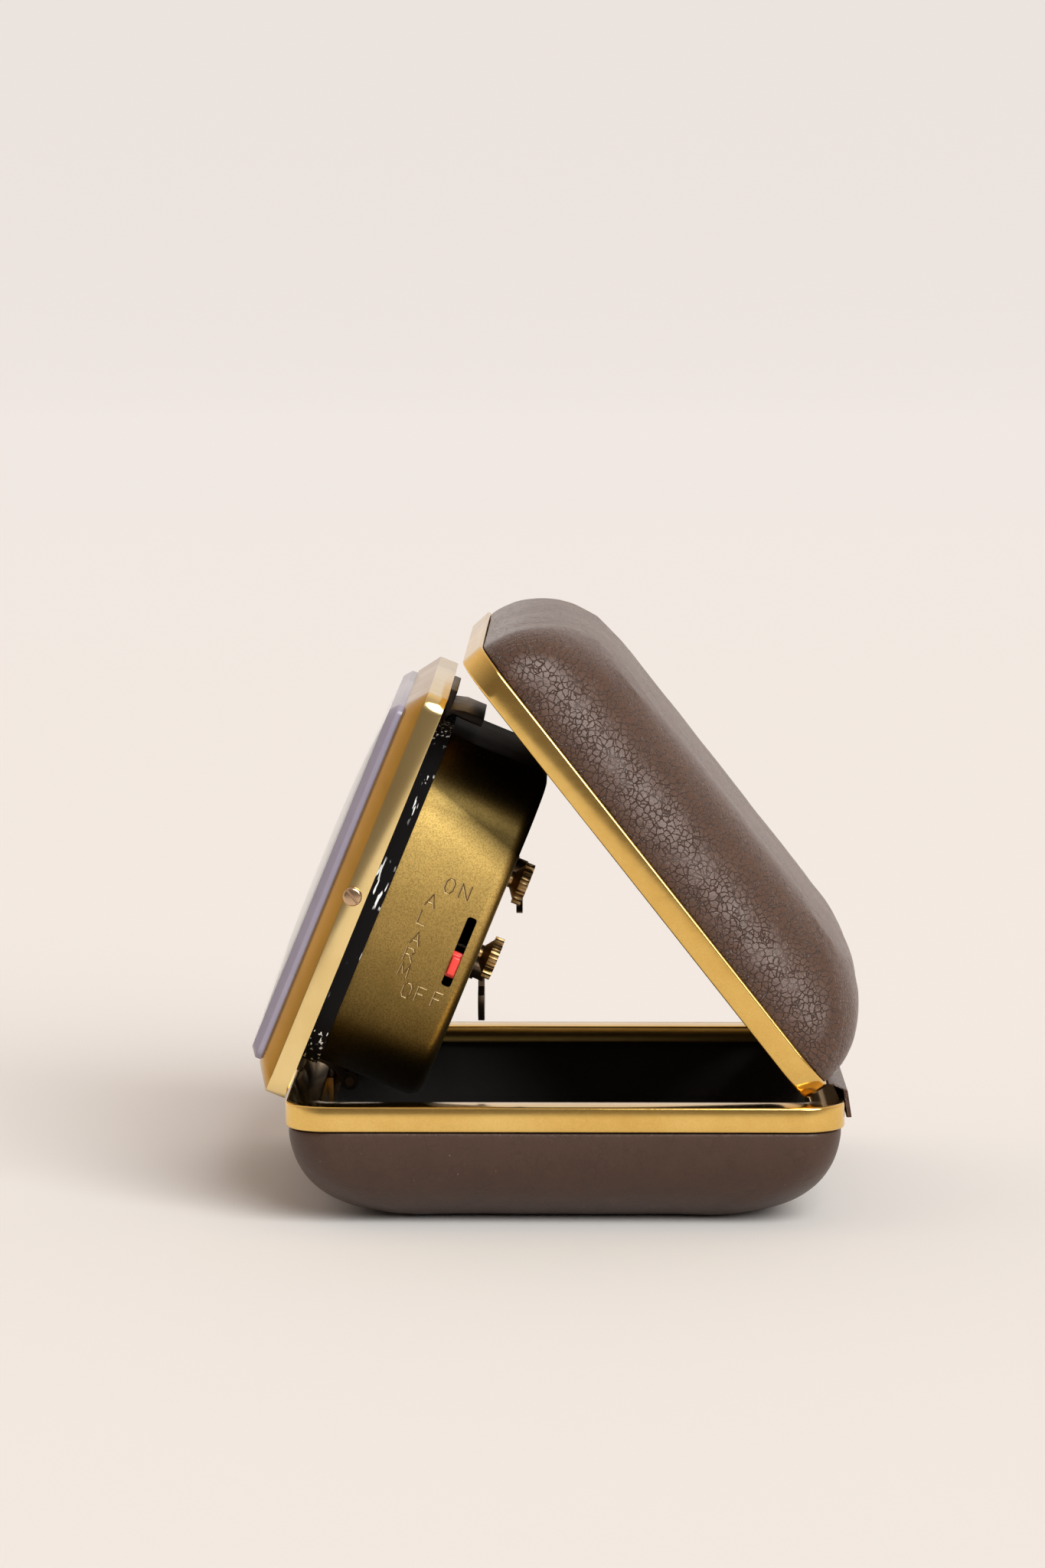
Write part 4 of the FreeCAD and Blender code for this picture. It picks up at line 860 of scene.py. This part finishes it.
# %% Strokes of the letters
letter_bars = {
    "O": [(0.3, 0, 0.7, 0), (0.7, 0, 0.95, 0.25), (0.95, 0.25, 0.95, 0.75), (0.95, 0.75, 0.7, 1),
          (0.7, 1, 0.3, 1), (0.3, 1, 0.05, 0.75), (0.05, 0.75, 0.05, 0.25), (0.05, 0.25, 0.3, 0)],
    "N": [(0, 0, 0, 1), (0, 1, 1, 0), (1, 0, 1, 1)],
    "F": [(0, 0, 0, 1), (0, 1, 0.9, 1), (0, 0.52, 0.7, 0.52)],
    "A": [(0, 0, 0.5, 1), (0.5, 1, 1, 0), (0.2, 0.36, 0.8, 0.36)],
    "L": [(0, 1, 0, 0), (0, 0, 0.9, 0)],
    "R": [(0, 0, 0, 1), (0, 1, 0.7, 1), (0.7, 1, 0.95, 0.78), (0.95, 0.78, 0.7, 0.52),
          (0.7, 0.52, 0, 0.52), (0.5, 0.52, 1, 0)],
    "M": [(0, 0, 0.1, 1), (0.1, 1, 0.5, 0.25), (0.5, 0.25, 0.9, 1), (0.9, 1, 1, 0)]}
letter_spots = [("on_o", "O", 34.75, -9.8), ("on_n", "N", 34.75, -12.0),
                ("off_o", "O", 19.5, -9.8), ("off_f", "F", 19.6, -11.8),
                ("off_g", "F", 19.8, -14.1), ("alarm_a", "A", 32.0, -8.26),
                ("alarm_l", "L", 29.4, -8.2), ("alarm_b", "A", 26.45, -8.3),
                ("alarm_r", "R", 24.1, -8.3), ("alarm_m", "M", 21.9, -8.4)]
print(len(letter_spots), "letters of", len(letter_bars), "kinds")

# %% [markdown]
# A pressed groove shows as a dark line with a bright lip on the side away from
# the light, and both are painted. Each letter is laid twice: once in brass with
# painted shade for the groove, and once in thinner brass with a painted
# highlight for the lip, slightly beside it.

# %% Stamped letters
letter_width = 1.3 * MM
letter_height = 2.0 * MM
alarm_height = 1.8 * MM
groove_radius = 0.10 * MM
lip_radius = 0.07 * MM
lip_aside = Vector((0, -0.11, 0.11)) * MM


def stroke(name, start, end, radius, spot):
    bar = add_bar(name, radius, (end - start).length + radius, (0, 0, 0), sides=8)
    turn = (end - start).to_track_quat("Z", "X").to_matrix().to_4x4()
    bar.matrix_world = Matrix.Translation(spot + (start + end) / 2) @ turn
    return settle(bar)


def stamp(name, letter, tall, spot, radius, material):
    # The letter's own right is the head's back, so its x runs along minus z
    bars = []
    for x0, y0, x1, y1 in letter_bars[letter]:
        start = Vector((0, (y0 - 0.5) * tall, (0.5 - x0) * letter_width))
        end = Vector((0, (y1 - 0.5) * tall, (0.5 - x1) * letter_width))
        bars.append(finish_with(stroke(name, start, end, radius, spot), material))
    layer = joined(bars, name)
    bpy.ops.object.shade_smooth_by_angle(angle=math.radians(50))
    put(layer, HEAD, "head")


for name, letter, up, back in letter_spots:
    tall = alarm_height if name.startswith("alarm") else letter_height
    spot = Vector((drum_size.x / 2, up * MM, back * MM))
    # Painted shade in the groove, and beside it a painted highlight on the lip
    stamp("shaded_groove_" + name, letter, tall, spot, groove_radius, letter_painted_shade)
    stamp("lip_" + name, letter, tall, spot + lip_aside, lip_radius, letter_painted_highlight)

# %% [markdown]
# The small fittings keep their CAD shape, which is already exact. Each is
# copied, merged and given fine bevels, because a real edge is never quite
# sharp and catches a thin line of light. A table lists the CAD part, the new
# piece, the body it rides on, its finish, its slot and the bevel in mm.


# %% Fittings
def dressed(node, name, body, material, width):
    piece = merged_copy(node, name)
    soften(piece, width, 2, 35)
    finish_with(piece, material)
    put(piece, BASE, body)
    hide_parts(node)


fittings = [("hinge_leaf_head", "head_hinge_leaf", "head", dark_steel, "bronze_trim", 0.10),
            ("hinge_leaf_base", "base_hinge_leaf", "base", hinge_brass, "bronze_trim", 0.08),
            ("catch_clip", "head_catch", "head", dark_steel, "bronze_trim", 0.12),
            ("movement_holder", "holder_shell", "head", holder_black, "holder_black", 0.08),
            ("alarm_slider", "slider_button", "switch", switch_red, "switch_red", 0.20),
            ("hand_setting_knob", "hand_knob", "hand_setting", tooth_brass, "bronze_trim", 0.05),
            ("alarm_setting_knob", "alarm_knob", "alarm_setting", tooth_brass, "bronze_trim", 0.05),
            ("time_winding_key", "time_key_hub", "time_key", bronze, "bronze_trim", 0.06),
            ("alarm_winding_key", "alarm_key_hub", "alarm_key", bronze, "bronze_trim", 0.06),
            ("time_key_leaf", "time_key_tab", "time_leaf", bronze, "bronze_trim", 0.15),
            ("alarm_key_leaf", "alarm_key_tab", "alarm_leaf", bronze, "bronze_trim", 0.15)]
for node, name, body, material, slot_name, width in fittings:
    dressed(node, name, body, material, width * MM)

# %% [markdown]
# A small domed screw holds the bezel on each side. A short bar gets a round
# outer edge, and a Boolean cuts the slot for the screwdriver across it, at the
# angle where the screw came to rest. The second screw is a copy of the first,
# turned round the head's middle line.

# %% Bezel screws
screw_radius = 1.3 * MM
screw_dome = 0.55 * MM
screw_place = Vector((head_width / 2, head_middle, 1.85 * MM))
screw_turn = math.radians(62)
screw = add_bar("side_screw_right", screw_radius, 2 * screw_dome, screw_place, "X", 40)
pick_edges(screw, lambda a, b: min(a.x, b.x) > head_width / 2)
bpy.ops.mesh.bevel(offset=0.42 * MM, segments=5, affect="EDGES")
bpy.ops.object.mode_set(mode="OBJECT")
blade = add_block("blade_tool", (0.6 * MM, 4 * MM, 0.36 * MM), (0, 0, 0))
blade.matrix_world = (Matrix.Translation(screw_place + Vector((screw_dome, 0, 0)))
                      @ Matrix.Rotation(screw_turn, 4, "X"))
cut_with(screw, settle(blade))
work_on(screw)
bpy.ops.object.shade_smooth_by_angle(angle=math.radians(40))
finish_with(screw, screw_brass)
other = copy_of(screw, "side_screw_left")
middle_line = Matrix.Translation((0, head_middle, 0))
other.matrix_world = middle_line @ Matrix.Rotation(math.pi, 4, "Z") @ middle_line.inverted()
for piece in (screw, settle(other)):
    put(piece, HEAD, "head")
    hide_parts("bezel_screws")

# %% [markdown]
# The dial is seen through the crystal from the front. Its minute track follows
# a rounded square, as the dial's own outline does. A point on it is found with
# the formula of a squircle, whose fourth powers give the square its round
# corners. Each minute is a thin bar of ink that points at the middle.

# %% Minute track
dial_level = 1.45 * MM
dial_thickness = 0.4 * MM
ink_rise = 0.02 * MM
dial_face = dial_level + dial_thickness + ink_rise
track_half = Vector((28.0, 23.6)) * MM


def on_track(degrees, inset):
    # The point of a rounded square track at a clock angle, from the middle
    angle = math.radians(90 - degrees)
    x, y = math.cos(angle), math.sin(angle)
    half_x, half_y = track_half.x - inset, track_half.y - inset
    reach = (abs(x / half_x) ** 4 + abs(y / half_y) ** 4) ** -0.25
    return x * reach, y * reach + drum_middle, angle


five_minute_tick = Vector((2.2, 0.45, 0.03)) * MM
minute_tick = Vector((1.2, 0.22, 0.03)) * MM
ticks = []
for minute in range(60):
    x, y, angle = on_track(minute * 6, 0)
    tick_size = minute_tick if minute % 5 else five_minute_tick
    tick = add_block("tick_" + str(minute), tick_size, (0, 0, 0))
    tick.matrix_world = Matrix.Translation((x, y, dial_face)) @ Matrix.Rotation(angle, 4, "Z")
    ticks.append(settle(tick))
track = finish_with(joined(ticks, "minute_track"), ink)
put(track, HEAD, "head")

# %% [markdown]
# The hours are plain numerals, a little inside the track. Each is a text object
# centred on its place. It is turned into a mesh first, and only then takes its
# place into its points, which a text object doesn't do well.

# %% Numerals
numeral_height = 6.2 * MM
numeral_inset = 5.2 * MM
numerals = []
for hour in range(1, 13):
    x, y, angle = on_track(hour * 30, numeral_inset)
    clear_selection()
    bpy.ops.object.text_add(location=(x, y, dial_face))
    text = bpy.context.object
    text.data.body = str(hour)
    text.data.size = numeral_height
    text.data.align_x = "CENTER"
    text.data.align_y = "CENTER"
    text.data.extrude = ink_rise
    bpy.ops.object.convert(target="MESH")
    numerals.append(settle(bpy.context.object))
figures = finish_with(joined(numerals, "dial_numerals"), ink)
put(figures, HEAD, "head")

# %% [markdown]
# What is left of the CAD model shows as it is and only gets a material. The
# linings are flocked, and the movement inside the drum is brass and steel. The
# parts that a new piece replaces get a finish like that piece's, so the model
# also looks right without it.

# %% Materials for the CAD parts
looks = {"base_tray": flock, "lid_tray": flock, "base_lining": flock, "lid_lining": flock,
         "movement_holder": holder_black, "dial": dial_cream, "minute_hand": ink, "hour_hand": ink,
         "alarm_hand": switch_red, "alarm_slider": switch_red, "hinge_pin": bronze,
         "cannon_pinion": steel, "hand_setting_arbor": steel, "alarm_setting_arbor": steel,
         "pallet_lever": steel, "hairspring": steel, "alarm_hammer": steel, "base_frame": gilt,
         "lid_frame": gilt, "bezel": bezel_gold, "rear_case": drum_gold, "base_leather": base_hide,
         "lid_leather": lid_hide, "crystal": crystal_clear}
bronze_words = ("key", "knob", "hinge", "clip", "screw")
for name, node in frame["nodes"].items():
    usual = bronze if any(word in name for word in bronze_words) else works_brass
    finish_with(node, looks.get(name, usual))
print("finished", len(frame["nodes"]), "CAD parts")

# %% [markdown]
# A leather strap closes the spine between the two halves. It is sliced into
# short strips, given soft edges, and left where the CAD model has it.

# %% Spine strap
strap = merged_copy("spine_strap", "spine_leather")
slice_strips(strap, 30 * MM, 38 * MM, 2 * MM)
soften(strap, 0.15 * MM, 2, 30)
finish_with(strap, lid_hide)
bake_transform(strap)
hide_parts("spine_strap")
print("made", strap.name, len(strap.data.polygons), "faces")

# %% [markdown]
# The clock stands on a pale studio sweep: a sheet of paper that lies as a floor
# and curves up far behind the clock, so no horizon line shows. A plane is
# enough, with its far edge drawn up and the fold between them rounded wide.

# %% Studio sweep
floor_side = 6.0
floor_front = 0.40
clear_selection()
bpy.ops.mesh.primitive_plane_add(size=floor_side, location=(floor_front - floor_side / 2, 0, 0))
floor = settle(named(bpy.context.object, "studio_sweep"))
back_edge = floor_front - floor_side + 0.1
pick_edges(floor, lambda a, b: max(a.x, b.x) < back_edge)
bpy.ops.mesh.extrude_edges_move(TRANSFORM_OT_translate={"value": (0, 0, 4)})
pick_edges(floor, lambda a, b: max(a.x, b.x) < back_edge and max(a.z, b.z) < 0.1)
bpy.ops.mesh.bevel(offset=2.0, segments=16, affect="EDGES")
work_on(floor)
bpy.ops.object.shade_smooth()
print("floor from", round(floor_front - floor_side, 2), "to", floor_front)

# %% [markdown]
# The far paper in the photograph is pale and even, whatever the lamp does. Its
# colour therefore fades with distance from lit paper into paper that glows by
# itself, while the floor near the clock still takes the clock's shadow.

# %% Paper
paper = (0.72, 0.68, 0.645)
far_paper = (0.80, 0.735, 0.695)
sweep = Finish("studio paper", paper, roughness=0.9)
distance = sweep.add("ShaderNodeSeparateXYZ")
sweep.join(sweep.place, distance.inputs["Vector"])
glow = sweep.ramp(distance.outputs["X"], 1.0, 0.0, -2.2, -0.2)
near_paper = sweep.tint(sweep.noise(1.5, 2), paper, [c * 1.02 for c in paper])
sweep.feed(sweep.tint(glow, near_paper, (0, 0, 0)), "Base Color")
sweep.shader.inputs["Emission Color"].default_value = (*far_paper, 1)
sweep.feed(glow, "Emission Strength")
finish_with(floor, sweep.material)
print("paper finish ready")

# %% [markdown]
# The camera sits level with the clock's right side, slightly above, with a long
# lens. Its place was worked out from where the case's edges meet in the
# distance, and its lens from the length of those edges: the focal length is
# first counted in pixels of the picture, and is then scaled to the sensor.

# %% Camera
picture_height = 2048
focal_pixels = 6663
sensor_side = 36
camera_data = bpy.data.cameras.new("side camera")
camera_data.sensor_width = sensor_side
camera_data.lens = focal_pixels / picture_height * sensor_side
camera = bpy.data.objects.new("side camera", camera_data)
bpy.context.scene.collection.objects.link(camera)
camera.location = (0.7089, 0.0012, 0.1280)
pitch = math.radians(5.794)
yaw = math.radians(0.582)
aim = Vector((-math.cos(yaw) * math.cos(pitch), -math.sin(yaw) * math.cos(pitch), -math.sin(pitch)))
camera.rotation_mode = "QUATERNION"
camera.rotation_quaternion = aim.to_track_quat("-Z", "Y")
camera_data.clip_start, camera_data.clip_end = 0.01, 50
bpy.context.scene.camera = camera
print("camera set, lens", round(camera_data.lens, 1))

# %% [markdown]
# One wide soft light comes from the camera's right and above, like a window. It
# throws the lid's soft shadow over the top of the drum and the clock's shadow
# back and to the left. A sun lamp with a wide angle does this evenly. Only its
# direction matters, and its place just keeps it out of the clock's way.

# %% Window light
window_data = bpy.data.lights.new("window light", "SUN")
window_data.energy = 3.75
window_data.angle = math.radians(44)
window_data.color = (0.93, 0.98, 1.0)
window = bpy.data.objects.new("window light", window_data)
bpy.context.scene.collection.objects.link(window)
window.location = (1.0, 0.5, 0.7)
window.rotation_mode = "QUATERNION"
light_from = Vector((1.0, 0.62, 0.80))
window.rotation_quaternion = (-light_from).to_track_quat("-Z", "Y")
print("window light from", [round(part, 2) for part in light_from.normalized()])

# %% [markdown]
# The world gives the light of a pale room, bright behind the clock and dimmer
# behind the camera. The paper ends a little way in front of the clock, so the
# low brass faces mirror bright paper and the high ones mirror the dimmer room,
# as in the photograph.

# %% World
bright_side = 0.86
dim_side = 0.20
world = bpy.data.worlds.new("pale room")
bpy.context.scene.world = world
world.use_nodes = True
room = world.node_tree.nodes["Background"]
room.inputs["Color"].default_value = (1.0, 0.86, 0.77, 1)
heading = world.node_tree.nodes.new("ShaderNodeTexCoord")
split = world.node_tree.nodes.new("ShaderNodeSeparateXYZ")
dimming = world.node_tree.nodes.new("ShaderNodeMapRange")
dimming.inputs["From Min"].default_value = -0.5
dimming.inputs["From Max"].default_value = 0.9
dimming.inputs["To Min"].default_value = bright_side
dimming.inputs["To Max"].default_value = dim_side
links = world.node_tree.links
links.new(heading.outputs["Generated"], split.inputs["Vector"])
links.new(split.outputs["X"], dimming.inputs["Value"])
links.new(dimming.outputs["Result"], room.inputs["Strength"])
bpy.context.scene.view_settings.view_transform = "Standard"
print("room from", bright_side, "behind the clock to", dim_side, "behind the camera")
